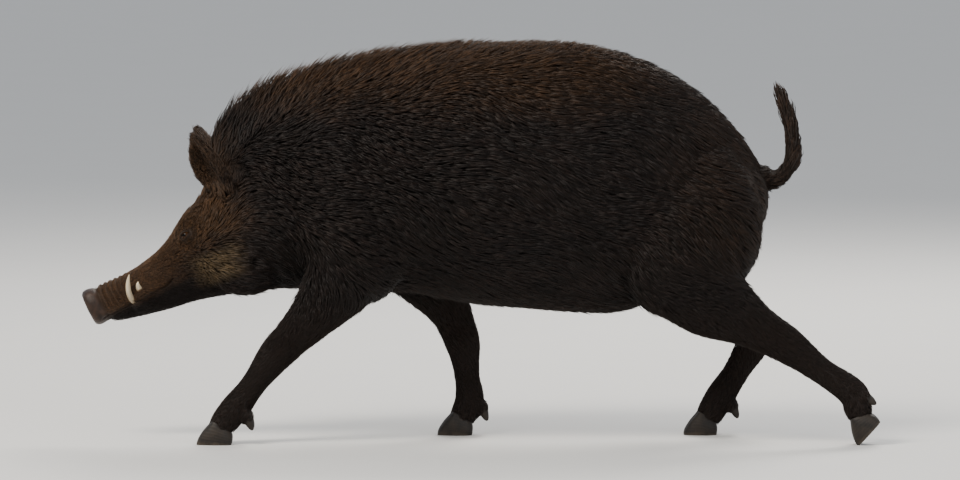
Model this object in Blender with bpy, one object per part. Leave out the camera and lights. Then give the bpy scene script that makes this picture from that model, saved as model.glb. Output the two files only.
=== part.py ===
"""Wild boar, life size, caught in mid stride: the solids of a museum model.

Metres, +Z up. The boar walks towards -X, so its left side faces -Y. The body is
lofted from named stations, fused and smoothed as one form, and then parted with
thin cuts into the pieces that a person would name. Sizes reach to the tips of
the coat.
"""

import math

import bmesh
import bpy
from mathutils import Matrix, Vector

# ---- driving dimensions -------------------------------------------------------
CUT = 0.0004  # the gap left between neighbouring pieces
SET_FORWARD = 0.0481  # brings the middle of the whole length over the origin
NOSE = Vector((-0.765, 0.0, 0.287))  # centre of the nose disc's back
HEAD_PITCH = 26.0  # degrees that the face slopes down from the poll to the nose
HEAD_NECK_AT = 0.395  # along the head's axis from the nose
NECK_TRUNK_AT = (-0.300, 0.520, 12.0)  # x, z and pitch of that cut
DISC_THICKNESS = 0.030
EYE_RADIUS = 0.0125
EYE_AT = (0.240, 0.075, 0.052)  # along the head, to the side, above its axis
EAR_LENGTH = 0.158
EAR_ROOT = (0.352, 0.078, 0.098)
EAR_LEAN = Vector((-0.44, 0.34, 0.83))  # forwards, outwards, upwards
VOXEL = 0.009
BODY_TRIANGLES = 3260

# Head stations: distance from the nose, reach above and below the axis, half
# width, and how square the upper and lower halves of the section are (2 = round).
HEAD_STATIONS = (
    (-0.020, 0.040, 0.040, 0.037, 2.2, 2.3),
    (0.030, 0.037, 0.056, 0.040, 2.0, 2.2),
    (0.085, 0.036, 0.068, 0.047, 1.9, 2.0),
    (0.140, 0.043, 0.079, 0.058, 1.9, 2.0),
    (0.195, 0.062, 0.088, 0.076, 2.0, 2.0),
    (0.245, 0.096, 0.102, 0.098, 2.1, 2.0),
    (0.305, 0.126, 0.122, 0.120, 2.1, 2.0),
)
# Neck and trunk stations: name, centre x and z, pitch, reach above and below,
# half width, squareness of the upper and lower halves.
BODY_STATIONS = (
    ("poll", -0.437, 0.448, 25.0, 0.172, 0.146, 0.140, 1.9, 2.0),
    ("neck", -0.360, 0.492, 17.0, 0.222, 0.188, 0.168, 1.8, 2.0),
    ("shoulder", -0.250, 0.530, 8.0, 0.250, 0.225, 0.200, 1.8, 2.1),
    ("chest", -0.120, 0.552, 3.0, 0.262, 0.242, 0.214, 1.9, 2.1),
    ("ribs", 0.040, 0.562, 0.0, 0.283, 0.276, 0.220, 2.0, 2.1),
    ("belly", 0.180, 0.560, 0.0, 0.292, 0.286, 0.216, 2.1, 2.1),
    ("loin", 0.320, 0.552, -5.0, 0.280, 0.286, 0.200, 2.1, 2.1),
    ("croup", 0.430, 0.530, -14.0, 0.240, 0.262, 0.182, 2.1, 2.1),
    ("rump", 0.520, 0.500, -27.0, 0.176, 0.215, 0.150, 2.1, 2.1),
    ("tail_root", 0.592, 0.468, -42.0, 0.104, 0.140, 0.098, 2.0, 2.0),
    ("end", 0.628, 0.446, -50.0, 0.040, 0.060, 0.045, 2.0, 2.0),
)
# The raised crest of bristles: x, height of its top, half thickness.
CREST_STATIONS = (
    (-0.540, 0.650, 0.016),
    (-0.505, 0.718, 0.030),
    (-0.430, 0.770, 0.036),
    (-0.310, 0.812, 0.042),
    (-0.160, 0.840, 0.048),
    (0.000, 0.856, 0.050),
    (0.140, 0.852, 0.040),
)
CREST_DEPTH = 0.150

# Muscle masses: name, centre, radii and pitch; each is mirrored.
MUSCLES = (
    ("shoulder", (-0.225, 0.120, 0.490), (0.125, 0.090, 0.200), -12.0),
    ("ham", (0.484, 0.094, 0.455), (0.166, 0.100, 0.200), 10.0),
    ("jowl", (-0.462, 0.070, 0.395), (0.105, 0.066, 0.085), 26.0),
    ("brow", (-0.566, 0.050, 0.470), (0.050, 0.030, 0.024), -48.0),
    ("cheekbone", (-0.520, 0.078, 0.432), (0.070, 0.026, 0.034), -30.0),
)

# Each leg runs down its joints: x, side, z, half depth and half width there.
FORE_REACHING = (
    (-0.215, 0.118, 0.470, 0.100, 0.066),
    (-0.238, 0.126, 0.360, 0.084, 0.060),
    (-0.305, 0.122, 0.272, 0.056, 0.046),
    (-0.385, 0.115, 0.188, 0.038, 0.036),
    (-0.432, 0.112, 0.125, 0.029, 0.029),
    (-0.470, 0.110, 0.075, 0.033, 0.034),
    (-0.494, 0.110, 0.040, 0.028, 0.033),
)
FORE_PLANTED = (
    (-0.190, 0.118, 0.470, 0.100, 0.066),
    (-0.096, 0.126, 0.365, 0.078, 0.058),
    (-0.024, 0.120, 0.278, 0.052, 0.044),
    (0.012, 0.114, 0.192, 0.038, 0.036),
    (0.020, 0.112, 0.128, 0.029, 0.029),
    (0.026, 0.110, 0.075, 0.033, 0.034),
    (0.014, 0.110, 0.040, 0.028, 0.033),
)
HIND_PUSHING = (
    (0.455, 0.100, 0.500, 0.140, 0.085),
    (0.482, 0.124, 0.395, 0.130, 0.078),
    (0.530, 0.128, 0.314, 0.096, 0.060),
    (0.620, 0.124, 0.256, 0.056, 0.041),
    (0.700, 0.120, 0.208, 0.042, 0.035),
    (0.768, 0.117, 0.157, 0.030, 0.029),
    (0.835, 0.115, 0.110, 0.033, 0.033),
    (0.841, 0.115, 0.068, 0.028, 0.033),
)
HIND_PLANTED = (
    (0.455, 0.100, 0.500, 0.140, 0.085),
    (0.462, 0.124, 0.395, 0.130, 0.078),
    (0.502, 0.128, 0.312, 0.094, 0.060),
    (0.582, 0.124, 0.256, 0.053, 0.040),
    (0.638, 0.120, 0.210, 0.042, 0.034),
    (0.600, 0.117, 0.140, 0.030, 0.029),
    (0.562, 0.115, 0.080, 0.033, 0.033),
    (0.540, 0.115, 0.042, 0.028, 0.033),
)
# The space that each leg's piece takes up: height, centre x, centre side, reach
# along X and reach sideways. It closes in a dome inside the trunk.
FORE_REACHING_SPACE = (
    (-0.030, -0.500, 0.150, 0.110, 0.110),
    (0.140, -0.425, 0.150, 0.100, 0.110),
    (0.260, -0.315, 0.152, 0.100, 0.118),
    (0.340, -0.243, 0.160, 0.118, 0.110),
    (0.440, -0.225, 0.185, 0.112, 0.100),
    (0.520, -0.220, 0.200, 0.085, 0.075),
    (0.575, -0.218, 0.210, 0.030, 0.030),
)
FORE_PLANTED_SPACE = (
    (-0.030, 0.015, 0.150, 0.110, 0.110),
    (0.140, 0.012, 0.150, 0.100, 0.110),
    (0.260, -0.030, 0.152, 0.100, 0.118),
    (0.340, -0.100, 0.160, 0.118, 0.110),
    (0.440, -0.165, 0.185, 0.112, 0.100),
    (0.520, -0.200, 0.200, 0.085, 0.075),
    (0.575, -0.210, 0.210, 0.030, 0.030),
)
HIND_PUSHING_SPACE = (
    (-0.030, 0.860, 0.150, 0.110, 0.110),
    (0.120, 0.790, 0.150, 0.120, 0.110),
    (0.230, 0.645, 0.150, 0.150, 0.115),
    (0.320, 0.525, 0.155, 0.160, 0.120),
    (0.430, 0.485, 0.172, 0.160, 0.115),
    (0.540, 0.480, 0.190, 0.120, 0.085),
    (0.610, 0.480, 0.200, 0.040, 0.035),
)
HIND_PLANTED_SPACE = (
    (-0.030, 0.530, 0.150, 0.120, 0.110),
    (0.120, 0.585, 0.150, 0.120, 0.110),
    (0.230, 0.570, 0.150, 0.150, 0.115),
    (0.320, 0.505, 0.155, 0.165, 0.120),
    (0.430, 0.478, 0.172, 0.162, 0.115),
    (0.540, 0.478, 0.190, 0.120, 0.085),
    (0.610, 0.478, 0.200, 0.040, 0.035),
)
# Feet: where the sole's middle is, which way the toes point (degrees that the
# hoof stands up on its tip), and the hoof's length.
LEGS = {
    "foreleg_left": (-1, FORE_REACHING, FORE_REACHING_SPACE, (-0.508, 0.110), 0.0, 0.074),
    "foreleg_right": (1, FORE_PLANTED, FORE_PLANTED_SPACE, (0.000, 0.110), 0.0, 0.074),
    "hindleg_left": (-1, HIND_PUSHING, HIND_PUSHING_SPACE, (0.887, 0.115), 48.0, 0.070),
    "hindleg_right": (1, HIND_PLANTED, HIND_PLANTED_SPACE, (0.525, 0.115), 0.0, 0.070),
}
# Tusks run out from the jaws: along the head, to the side, above its axis, radius.
LOWER_TUSK = (
    (0.086, 0.026, -0.044, 0.0062),
    (0.080, 0.036, -0.032, 0.0070),
    (0.074, 0.046, -0.018, 0.0068),
    (0.076, 0.054, 0.000, 0.0058),
    (0.084, 0.058, 0.018, 0.0042),
    (0.093, 0.058, 0.031, 0.0016),
)
UPPER_TUSK = (
    (0.104, 0.026, -0.024, 0.0075),
    (0.101, 0.037, -0.018, 0.0080),
    (0.098, 0.046, -0.008, 0.0070),
    (0.099, 0.050, 0.002, 0.0046),
    (0.103, 0.050, 0.009, 0.0016),
)
TAIL_LINE = (
    (0.630, 0.560, 0.026),
    (0.680, 0.556, 0.023),
    (0.710, 0.592, 0.017),
    (0.711, 0.642, 0.013),
    (0.702, 0.686, 0.017),
    (0.692, 0.722, 0.016),
    (0.684, 0.750, 0.004),
)

COLOURS = {
    "coat": ((0.020, 0.015, 0.011), 0.85),
    "leg_coat": ((0.012, 0.010, 0.009), 0.80),
    "ear_coat": ((0.016, 0.012, 0.010), 0.85),
    "nose_skin": ((0.050, 0.032, 0.028), 0.45),
    "eye": ((0.012, 0.006, 0.004), 0.08),
    "tusk": ((0.520, 0.430, 0.280), 0.35),
    "hoof": ((0.030, 0.024, 0.020), 0.50),
}


# ---- small tools --------------------------------------------------------------
def material(name):
    """The part's finish, made once and shared by its pieces."""
    found = bpy.data.materials.get(name)
    if found:
        return found
    colour, roughness = COLOURS[name]
    made = bpy.data.materials.new(name)
    made.use_nodes = True
    shader = made.node_tree.nodes["Principled BSDF"]
    shader.inputs["Base Color"].default_value = (*colour, 1.0)
    shader.inputs["Roughness"].default_value = roughness
    shader.inputs["Metallic"].default_value = 0.0
    return made


def add_object(name, mesh, finish=None):
    made = bpy.data.objects.new(name, mesh)
    bpy.context.scene.collection.objects.link(made)
    if finish:
        mesh.materials.clear()
        mesh.materials.append(material(finish))
    return made


def as_helper(made):
    """A cutter or guide: shown as wire and left out of the object."""
    made.hide_render = True
    made.display_type = "WIRE"
    return made


def in_between(rows, steps):
    """Catmull-Rom rows through the given rows, with steps spans between each two."""
    count = len(rows)
    out = []
    for i in range(count - 1):
        p = [rows[max(0, min(count - 1, i + k))] for k in (-1, 0, 1, 2)]
        for j in range(steps):
            t = j / steps
            out.append(
                tuple(
                    0.5 * (2 * b + (c - a) * t + (2 * a - 5 * b + 4 * c - d) * t * t
                           + (3 * b - a - 3 * c + d) * t ** 3)
                    for a, b, c, d in zip(*p)
                )
            )
    out.append(tuple(rows[-1]))
    return out


def loft(name, rings):
    """A closed skin over the rings, which all have as many points."""
    mesh = bpy.data.meshes.new(name)
    bm = bmesh.new()
    loops = [[bm.verts.new(point) for point in ring] for ring in rings]
    for low, high in zip(loops, loops[1:]):
        for i in range(len(low)):
            j = (i + 1) % len(low)
            bm.faces.new((low[i], low[j], high[j], high[i]))
    bm.faces.new(loops[0][::-1])
    bm.faces.new(loops[-1])
    bmesh.ops.triangulate(bm, faces=bm.faces)
    bmesh.ops.recalc_face_normals(bm, faces=bm.faces)
    bm.to_mesh(mesh)
    bm.free()
    return mesh


def power(value, exponent):
    return math.copysign(abs(value) ** exponent, value)


def section(centre, across, up, half_width, above, below, square_up, square_down, count):
    """A ring that is a superellipse above its centre line and another below it."""
    ring = []
    for i in range(count):
        turn = 2 * math.pi * i / count
        square, reach = (square_up, above) if math.cos(turn) > 0 else (square_down, below)
        side = half_width * power(math.sin(turn), 2 / square)
        rise = reach * power(math.cos(turn), 2 / square)
        ring.append(centre + across * side + up * rise)
    return ring


def ball(name, centre, radii, pitch=0.0, rings=16):
    """An ellipsoid, turned about Y by the pitch."""
    bm = bmesh.new()
    bmesh.ops.create_uvsphere(bm, u_segments=rings + 4, v_segments=rings, radius=1.0)
    turn = Matrix.Rotation(math.radians(pitch), 4, "Y")
    size = Matrix.Diagonal((*radii, 1.0))
    bm.transform(Matrix.Translation(centre) @ turn @ size)
    mesh = bpy.data.meshes.new(name)
    bm.to_mesh(mesh)
    bm.free()
    return mesh


def grown(mesh, by):
    """A copy whose surface stands out by a hair, to cut room for the original."""
    bm = bmesh.new()
    bm.from_mesh(mesh)
    bmesh.ops.recalc_face_normals(bm, faces=bm.faces)
    bm.normal_update()
    moves = [vert.normal * by for vert in bm.verts]
    for vert, move in zip(bm.verts, moves):
        vert.co += move
    copy = bpy.data.meshes.new(mesh.name + "_room")
    bm.to_mesh(copy)
    bm.free()
    return copy


def cutter(mesh, by=0.0):
    return as_helper(add_object(mesh.name + "_cutter", grown(mesh, by) if by else mesh))


def boolean(target, other, operation):
    made = target.modifiers.new(operation.lower() + "_" + other.name, "BOOLEAN")
    made.operation = operation
    made.solver = "EXACT"
    made.object = other


def frozen(source, name):
    """The object's mesh with its modifiers applied; the object itself is removed."""
    graph = bpy.context.evaluated_depsgraph_get()
    mesh = bpy.data.meshes.new_from_object(source.evaluated_get(graph))
    mesh.name = name
    bpy.data.objects.remove(source)
    return mesh


def head_axes():
    """The head's own directions: back along its axis, and up out of its brow."""
    turn = math.radians(HEAD_PITCH)
    return Vector((math.cos(turn), 0, math.sin(turn))), Vector((-math.sin(turn), 0, math.cos(turn)))


def on_head(along, side, above):
    back, up = head_axes()
    return NOSE + back * along + Vector((0, side, 0)) + up * above


def half_space(name, point, pitch, behind):
    """A large block on one side of a plane that leans forward by the pitch."""
    size = 2.4
    bm = bmesh.new()
    bmesh.ops.create_cube(bm, size=size)
    shift = size / 2 if behind else -size / 2
    turn = Matrix.Rotation(-math.radians(pitch), 4, "Y")
    bm.transform(Matrix.Translation(point) @ turn @ Matrix.Translation((shift, 0, 0)))
    mesh = bpy.data.meshes.new(name)
    bm.to_mesh(mesh)
    bm.free()
    return cutter(mesh)


# ---- the body as one form -----------------------------------------------------
def body_tube():
    """Nose to rump: the head's stations, then the neck's and trunk's."""
    rows = []
    for along, above, below, half, square_up, square_down in HEAD_STATIONS:
        centre = on_head(along, 0, 0)
        rows.append((centre.x, centre.z, HEAD_PITCH, above, below, half, square_up, square_down))
    rows += [row[1:] for row in BODY_STATIONS]
    rings = []
    for x, z, pitch, above, below, half, square_up, square_down in in_between(rows, 4):
        turn = math.radians(pitch)
        up = Vector((-math.sin(turn), 0, math.cos(turn)))
        rings.append(
            section(Vector((x, 0, z)), Vector((0, 1, 0)), up, half, above, below,
                    square_up, square_down, 36)
        )
    return loft("tube", rings)


def crest():
    rings = []
    for x, top, half in in_between(CREST_STATIONS, 4):
        centre = Vector((x, 0, top - CREST_DEPTH / 2))
        rings.append(
            section(centre, Vector((0, 1, 0)), Vector((0, 0, 1)), half,
                    CREST_DEPTH / 2, CREST_DEPTH / 2, 1.7, 2.0, 16)
        )
    return loft("crest", rings)


def leg_tube(name, side, joints):
    """A leg whose rings stand square to the line through its joints."""
    rows = in_between(joints, 4)
    points = [Vector((x, side * y, z)) for x, y, z, _, _ in rows]
    rings = []
    for i, (_, _, _, deep, wide) in enumerate(rows):
        along = (points[min(i + 1, len(points) - 1)] - points[max(i - 1, 0)]).normalized()
        across = Vector((0, 1, 0))
        front = across.cross(along).normalized()
        rings.append(section(points[i], across, front, wide, deep, deep, 2.1, 2.1, 20))
    return loft(name, rings)


def body_mesh():
    """Every mass fused with a voxel remesh, smoothed and thinned out."""
    meshes = [body_tube(), crest()]
    for name, (side, joints, *_) in LEGS.items():
        meshes.append(leg_tube(name + "_tube", side, joints))
    for name, centre, radii, pitch in MUSCLES:
        for side in (-1, 1):
            placed = Vector((centre[0], side * centre[1], centre[2]))
            meshes.append(ball(f"{name}_{side}", placed, radii, pitch))
    bm = bmesh.new()
    for mesh in meshes:
        bm.from_mesh(mesh)
        bpy.data.meshes.remove(mesh)
    joined = bpy.data.meshes.new("body")
    bm.to_mesh(joined)
    bm.free()
    whole = add_object("body_masses", joined)
    fuse = whole.modifiers.new("fuse", "REMESH")
    fuse.mode = "VOXEL"
    fuse.voxel_size = VOXEL
    soften = whole.modifiers.new("soften", "SMOOTH")
    soften.factor = 0.5
    soften.iterations = 6
    fused = add_object("body_fused", frozen(whole, "body_fused"))
    fused.data.calc_loop_triangles()
    thin = fused.modifiers.new("thin", "DECIMATE")
    thin.ratio = BODY_TRIANGLES / len(fused.data.loop_triangles)
    return frozen(fused, "body")


# ---- separate pieces ----------------------------------------------------------
def eye(side):
    along, out, above = EYE_AT
    mesh = ball("eye", on_head(along, side * out, above), (EYE_RADIUS,) * 3, rings=6)
    mesh.shade_smooth()
    return mesh


def orbit(side):
    """The shallow hollow that lets the eye show."""
    along, out, above = EYE_AT
    centre = on_head(along - 0.004, side * (out + 0.021), above)
    return ball("orbit", centre, (0.025, 0.022, 0.019), -HEAD_PITCH, rings=6)


def ear(side):
    """A cupped leaf: wide above its root, drawn to a point at the tip."""
    root = on_head(EAR_ROOT[0], side * EAR_ROOT[1], EAR_ROOT[2])
    axis = Vector((EAR_LEAN.x, side * EAR_LEAN.y, EAR_LEAN.z)).normalized()
    # The cup opens forwards and outwards; its back is turned to the neck.
    face = Vector((-0.72, side * 0.62, -0.10))
    face = (face - axis * face.dot(axis)).normalized()
    across = axis.cross(face).normalized()
    stations = (
        # share of the length, half width, half thickness, depth of the cup
        (-0.24, 0.032, 0.024, 0.000),
        (0.00, 0.038, 0.023, 0.003),
        (0.22, 0.046, 0.017, 0.010),
        (0.48, 0.047, 0.013, 0.015),
        (0.72, 0.036, 0.011, 0.013),
        (0.90, 0.019, 0.009, 0.006),
        (1.00, 0.004, 0.005, 0.000),
    )
    rings = []
    for share, wide, thick, cup in stations:
        centre = root + axis * (share * EAR_LENGTH)
        ring = section(centre, across, face, wide, thick, thick, 2.0, 2.0, 12)
        for i, point in enumerate(ring):
            off = (point - centre).dot(across) / wide
            ring[i] = point + face * (cup * (2 * off * off - 1))
        rings.append(ring)
    return loft("ear", rings)


def tusk(side, rows):
    """A curved tooth through its rows, round in section."""
    points = [on_head(along, side * out, above) for along, out, above, _ in rows]
    rings = []
    for i, (*_, radius) in enumerate(rows):
        axis = (points[min(i + 1, len(points) - 1)] - points[max(i - 1, 0)]).normalized()
        front = axis.cross(Vector((1, 0, 0))).normalized()
        rings.append(section(points[i], axis.cross(front), front, radius, radius, radius, 2, 2, 7))
    return loft("tusk", rings)


def nose_disc():
    """The gristle disc, a little wider than the snout behind it, with two nostrils."""
    back, up = head_axes()
    rows = (
        (-0.0005 - CUT, 0.036, 0.039, 0.037),
        (-0.40, 0.040, 0.041, 0.041),
        (-0.75, 0.041, 0.042, 0.042),
        (-0.94, 0.037, 0.038, 0.038),
        (-1.00, 0.030, 0.031, 0.031),
    )
    rings = [
        section(NOSE + back * (share * DISC_THICKNESS + 0.010), Vector((0, 1, 0)), up,
                wide, above, below, 2.4, 2.3, 16)
        for share, above, below, wide in rows
    ]
    return loft("snout_disc", rings)


def nostril(side):
    centre = on_head(0.0085 - DISC_THICKNESS, side * 0.0172, 0.0023)
    return ball("nostril", centre, (0.013, 0.0085, 0.0110), -HEAD_PITCH + 4.0, rings=5)


def mouth_slit():
    """A thin blade across the snout, between the lips."""
    back, up = head_axes()
    line = ((-0.030, -0.030), (0.040, -0.030), (0.100, -0.024), (0.150, -0.024), (0.172, -0.018))
    rings = []
    half_height, reach = 0.0016, 0.10
    for along, above in in_between(line, 3):
        middle = NOSE + back * along + up * above
        rings.append([
            middle + Vector((0, sy * reach, 0)) + up * (sz * half_height)
            for sy, sz in ((-1, -1), (1, -1), (1, 1), (-1, 1))
        ])
    return loft("mouth_slit", rings)


def claw(centre, side, length, inward, stand_up):
    """One hoof of the cloven pair: a wedge with a flat sole on the floor."""
    half = 0.0165
    rows = (
        # height, toe and heel reach from the middle, half width
        (0.000, 0.58, 0.42, 0.92),
        (0.012, 0.54, 0.44, 1.00),
        (0.028, 0.40, 0.44, 0.97),
        (0.050, 0.14, 0.34, 0.66),
    )
    rings = []
    for height, toe, heel, wide in rows:
        ring = []
        for i in range(10):
            turn = 2 * math.pi * i / 10
            reach = (toe if math.cos(turn) > 0 else heel) * length
            point = Vector((-reach * power(math.cos(turn), 0.9) if math.cos(turn) > 0
                            else reach * power(-math.cos(turn), 0.8),
                            half * wide * power(math.sin(turn), 0.85), height))
            if point.x < 0:
                point.y += inward * 0.08 * point.x  # the toes bend towards each other
            ring.append(point)
        rings.append(ring)
    mesh = loft("claw", rings)
    lift = math.radians(stand_up)
    toe_tip = Matrix.Translation((-0.56 * length, 0, 0))
    tipped = toe_tip @ Matrix.Rotation(-lift, 4, "Y") @ toe_tip.inverted()
    mesh.transform(Matrix.Translation((centre[0], side * centre[1], 0)) @ tipped)
    if stand_up:
        stand_on_floor(mesh, 0.0025)
    return mesh


def stand_on_floor(mesh, worn):
    """Sets the lowest point a little under the floor and trims the hoof flat there."""
    low = min(vert.co.z for vert in mesh.vertices)
    mesh.transform(Matrix.Translation((0, 0, -low - worn)))
    bm = bmesh.new()
    bm.from_mesh(mesh)
    cut = bmesh.ops.bisect_plane(
        bm, geom=bm.verts[:] + bm.edges[:] + bm.faces[:], plane_co=(0, 0, 0),
        plane_no=(0, 0, 1), clear_inner=True)
    rim = [edge for edge in cut["geom_cut"] if isinstance(edge, bmesh.types.BMEdge)]
    bmesh.ops.contextual_create(bm, geom=rim)
    bmesh.ops.recalc_face_normals(bm, faces=bm.faces)
    bm.to_mesh(mesh)
    bm.free()


def dew_claw(point, axis):
    """The short horn cone behind and above each hoof."""
    axis = axis.normalized()
    across = Vector((0, 1, 0))
    front = across.cross(axis).normalized()
    rings = []
    for share, radius in ((-0.55, 0.0095), (0.3, 0.0098), (0.75, 0.0066), (1.0, 0.0022)):
        rings.append(section(point + axis * (0.026 * share), across, front,
                             radius, radius, radius, 2, 2, 7))
    return loft("dew_claw", rings)


def tail():
    rows = in_between(TAIL_LINE, 2)
    points = [Vector((x, 0, z)) for x, z, _ in rows]
    rings = []
    for i, (_, _, radius) in enumerate(rows):
        along = (points[min(i + 1, len(points) - 1)] - points[max(i - 1, 0)]).normalized()
        across = Vector((0, 1, 0))
        rings.append(section(points[i], across, across.cross(along), radius, radius, radius, 2, 2, 8))
    return loft("tail", rings)


def leg_space(name, side, rows):
    rings = [
        section(Vector((x, side * y, z)), Vector((0, 1, 0)), Vector((1, 0, 0)), wide, deep, deep, 2.4, 2.4, 16)
        for z, x, y, deep, wide in rows
    ]
    return loft(name + "_space", rings)


# ---- putting it together ------------------------------------------------------
def feet(name):
    """The hoof meshes of one leg by node name, and those that the leg makes room for."""
    side, joints, _, sole, stand_up, length = LEGS[name]
    place = name.replace("foreleg", "fore").replace("hindleg", "hind")
    found = {}
    for which, offset in (("outer", 0.0185), ("inner", -0.0185)):
        found[f"hoof_{place}_{which}"] = claw(
            (sole[0], sole[1] + offset), side, length, side * math.copysign(1, offset), stand_up)
    x, y, z = joints[-2][:3]
    lean = math.radians(stand_up * 0.75)
    for which, offset in (("outer", 0.021), ("inner", -0.021)):
        axis = Vector((0.45 * math.cos(lean) + math.sin(lean), 0, 0.45 * math.sin(lean) - math.cos(lean)))
        point = Vector((x + 0.027, side * (y + offset), z - 0.020 + 0.010 * (stand_up > 0)))
        found[f"dewclaw_{place}_{which}"] = dew_claw(point, axis)
    return found


def build():
    for old in list(bpy.data.objects):
        bpy.data.objects.remove(old)
    body = body_mesh()
    body_room = cutter(body.copy(), CUT)
    spaces = {
        name: leg_space(name, side, space) for name, (side, _, space, *_) in LEGS.items()
    }
    space_rooms = [cutter(mesh, CUT) for mesh in spaces.values()]

    head_cut = on_head(HEAD_NECK_AT, 0, 0)
    trunk_cut = Vector((NECK_TRUNK_AT[0], 0, NECK_TRUNK_AT[1]))
    back = head_axes()[0]
    before_neck = half_space("before_neck", head_cut, HEAD_PITCH, False)
    behind_head = half_space("behind_head", head_cut + back * CUT, HEAD_PITCH, True)
    before_trunk = half_space("before_trunk", trunk_cut - back * CUT, NECK_TRUNK_AT[2], False)
    behind_neck = half_space("behind_neck", trunk_cut, NECK_TRUNK_AT[2], True)
    behind_disc = half_space("behind_disc", on_head(0.010, 0, 0), HEAD_PITCH, True)

    head = add_object("head", body.copy(), "coat")
    neck = add_object("neck", body.copy(), "coat")
    trunk = add_object("trunk", body.copy(), "coat")
    for piece, insides in ((head, (before_neck, behind_disc)), (neck, (behind_head, before_trunk)),
                           (trunk, (behind_neck,))):
        for inside in insides:
            boolean(piece, inside, "INTERSECT")
        for room in space_rooms:
            boolean(piece, room, "DIFFERENCE")
    boolean(head, cutter(mouth_slit()), "DIFFERENCE")

    for name, space in spaces.items():
        leg = add_object(name, body.copy(), "leg_coat")
        boolean(leg, cutter(space.copy()), "INTERSECT")
        for hoof, mesh in feet(name).items():
            add_object(hoof, mesh, "hoof")
            boolean(leg, cutter(mesh.copy(), CUT), "DIFFERENCE")

    for side, word in ((-1, "left"), (1, "right")):
        ball_mesh = eye(side)
        add_object("eye_" + word, ball_mesh, "eye")
        boolean(head, cutter(orbit(side)), "DIFFERENCE")
        boolean(head, cutter(ball_mesh.copy(), CUT), "DIFFERENCE")
        ear_object = add_object("ear_" + word, ear(side), "ear_coat")
        boolean(ear_object, body_room, "DIFFERENCE")
        for kind, rows in (("tusk_", LOWER_TUSK), ("upper_tusk_", UPPER_TUSK)):
            horn = tusk(side, rows)
            add_object(kind + word, horn, "tusk")
            boolean(head, cutter(horn.copy(), CUT), "DIFFERENCE")

    disc = add_object("snout_disc", nose_disc(), "nose_skin")
    for side in (-1, 1):
        boolean(disc, cutter(nostril(side)), "DIFFERENCE")
    tail_object = add_object("tail", tail(), "coat")
    boolean(tail_object, body_room, "DIFFERENCE")
    for placed in bpy.data.objects:
        placed.location.x -= SET_FORWARD


build()
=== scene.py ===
import math
import time

import bmesh
import bpy
import numpy as np
from mathutils import Matrix, Vector
from mathutils.bvhtree import BVHTree
from mathutils.kdtree import KDTree


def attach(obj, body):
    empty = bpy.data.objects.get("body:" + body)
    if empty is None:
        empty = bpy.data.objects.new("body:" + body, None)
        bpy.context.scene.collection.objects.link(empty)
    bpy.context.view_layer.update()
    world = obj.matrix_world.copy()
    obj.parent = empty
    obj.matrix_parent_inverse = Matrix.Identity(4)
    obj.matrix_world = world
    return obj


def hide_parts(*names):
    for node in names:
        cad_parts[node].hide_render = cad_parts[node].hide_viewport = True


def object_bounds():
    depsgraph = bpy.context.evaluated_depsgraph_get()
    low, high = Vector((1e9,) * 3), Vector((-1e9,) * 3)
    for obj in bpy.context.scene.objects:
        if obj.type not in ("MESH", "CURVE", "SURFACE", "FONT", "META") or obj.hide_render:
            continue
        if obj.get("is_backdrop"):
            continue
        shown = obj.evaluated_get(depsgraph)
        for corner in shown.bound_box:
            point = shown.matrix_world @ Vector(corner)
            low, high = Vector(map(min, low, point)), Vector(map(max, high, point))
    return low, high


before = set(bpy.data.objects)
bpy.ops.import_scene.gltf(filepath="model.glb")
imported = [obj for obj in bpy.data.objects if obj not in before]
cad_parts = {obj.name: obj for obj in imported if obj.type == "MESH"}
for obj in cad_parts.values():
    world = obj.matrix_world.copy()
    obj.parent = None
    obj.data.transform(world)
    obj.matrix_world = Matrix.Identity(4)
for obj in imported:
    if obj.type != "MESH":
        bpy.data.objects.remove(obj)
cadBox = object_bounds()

started = time.time()


def say(text):
    print(f"[boar {time.time() - started:5.1f} s] {text}")


class Wire:
    # one socket of a node tree; sums with it become Math nodes
    def __init__(self, graph, socket):
        self.graph, self.socket = graph, socket

    def do(self, operation, *values):
        return self.graph.node("ShaderNodeMath", {"operation": operation}, values)

    def __add__(self, other):
        return self.do("ADD", self, other)

    def __sub__(self, other):
        return self.do("SUBTRACT", self, other)

    def __rsub__(self, other):
        return self.do("SUBTRACT", other, self)

    def __mul__(self, other):
        return self.do("MULTIPLY", self, other)

    __radd__ = __add__
    __rmul__ = __mul__

    def sine(self):
        return self.do("SINE", self)

    def root(self):
        return self.do("SQRT", self)

    def rise(self, low, high):
        # 0 below low and 1 above high, smooth between; falls where low is above high
        if low > high:
            return 1 - self.rise(high, low)
        settings = {"interpolation_type": "SMOOTHSTEP"}
        return self.graph.node("ShaderNodeMapRange", settings, [self, low, high])


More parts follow.
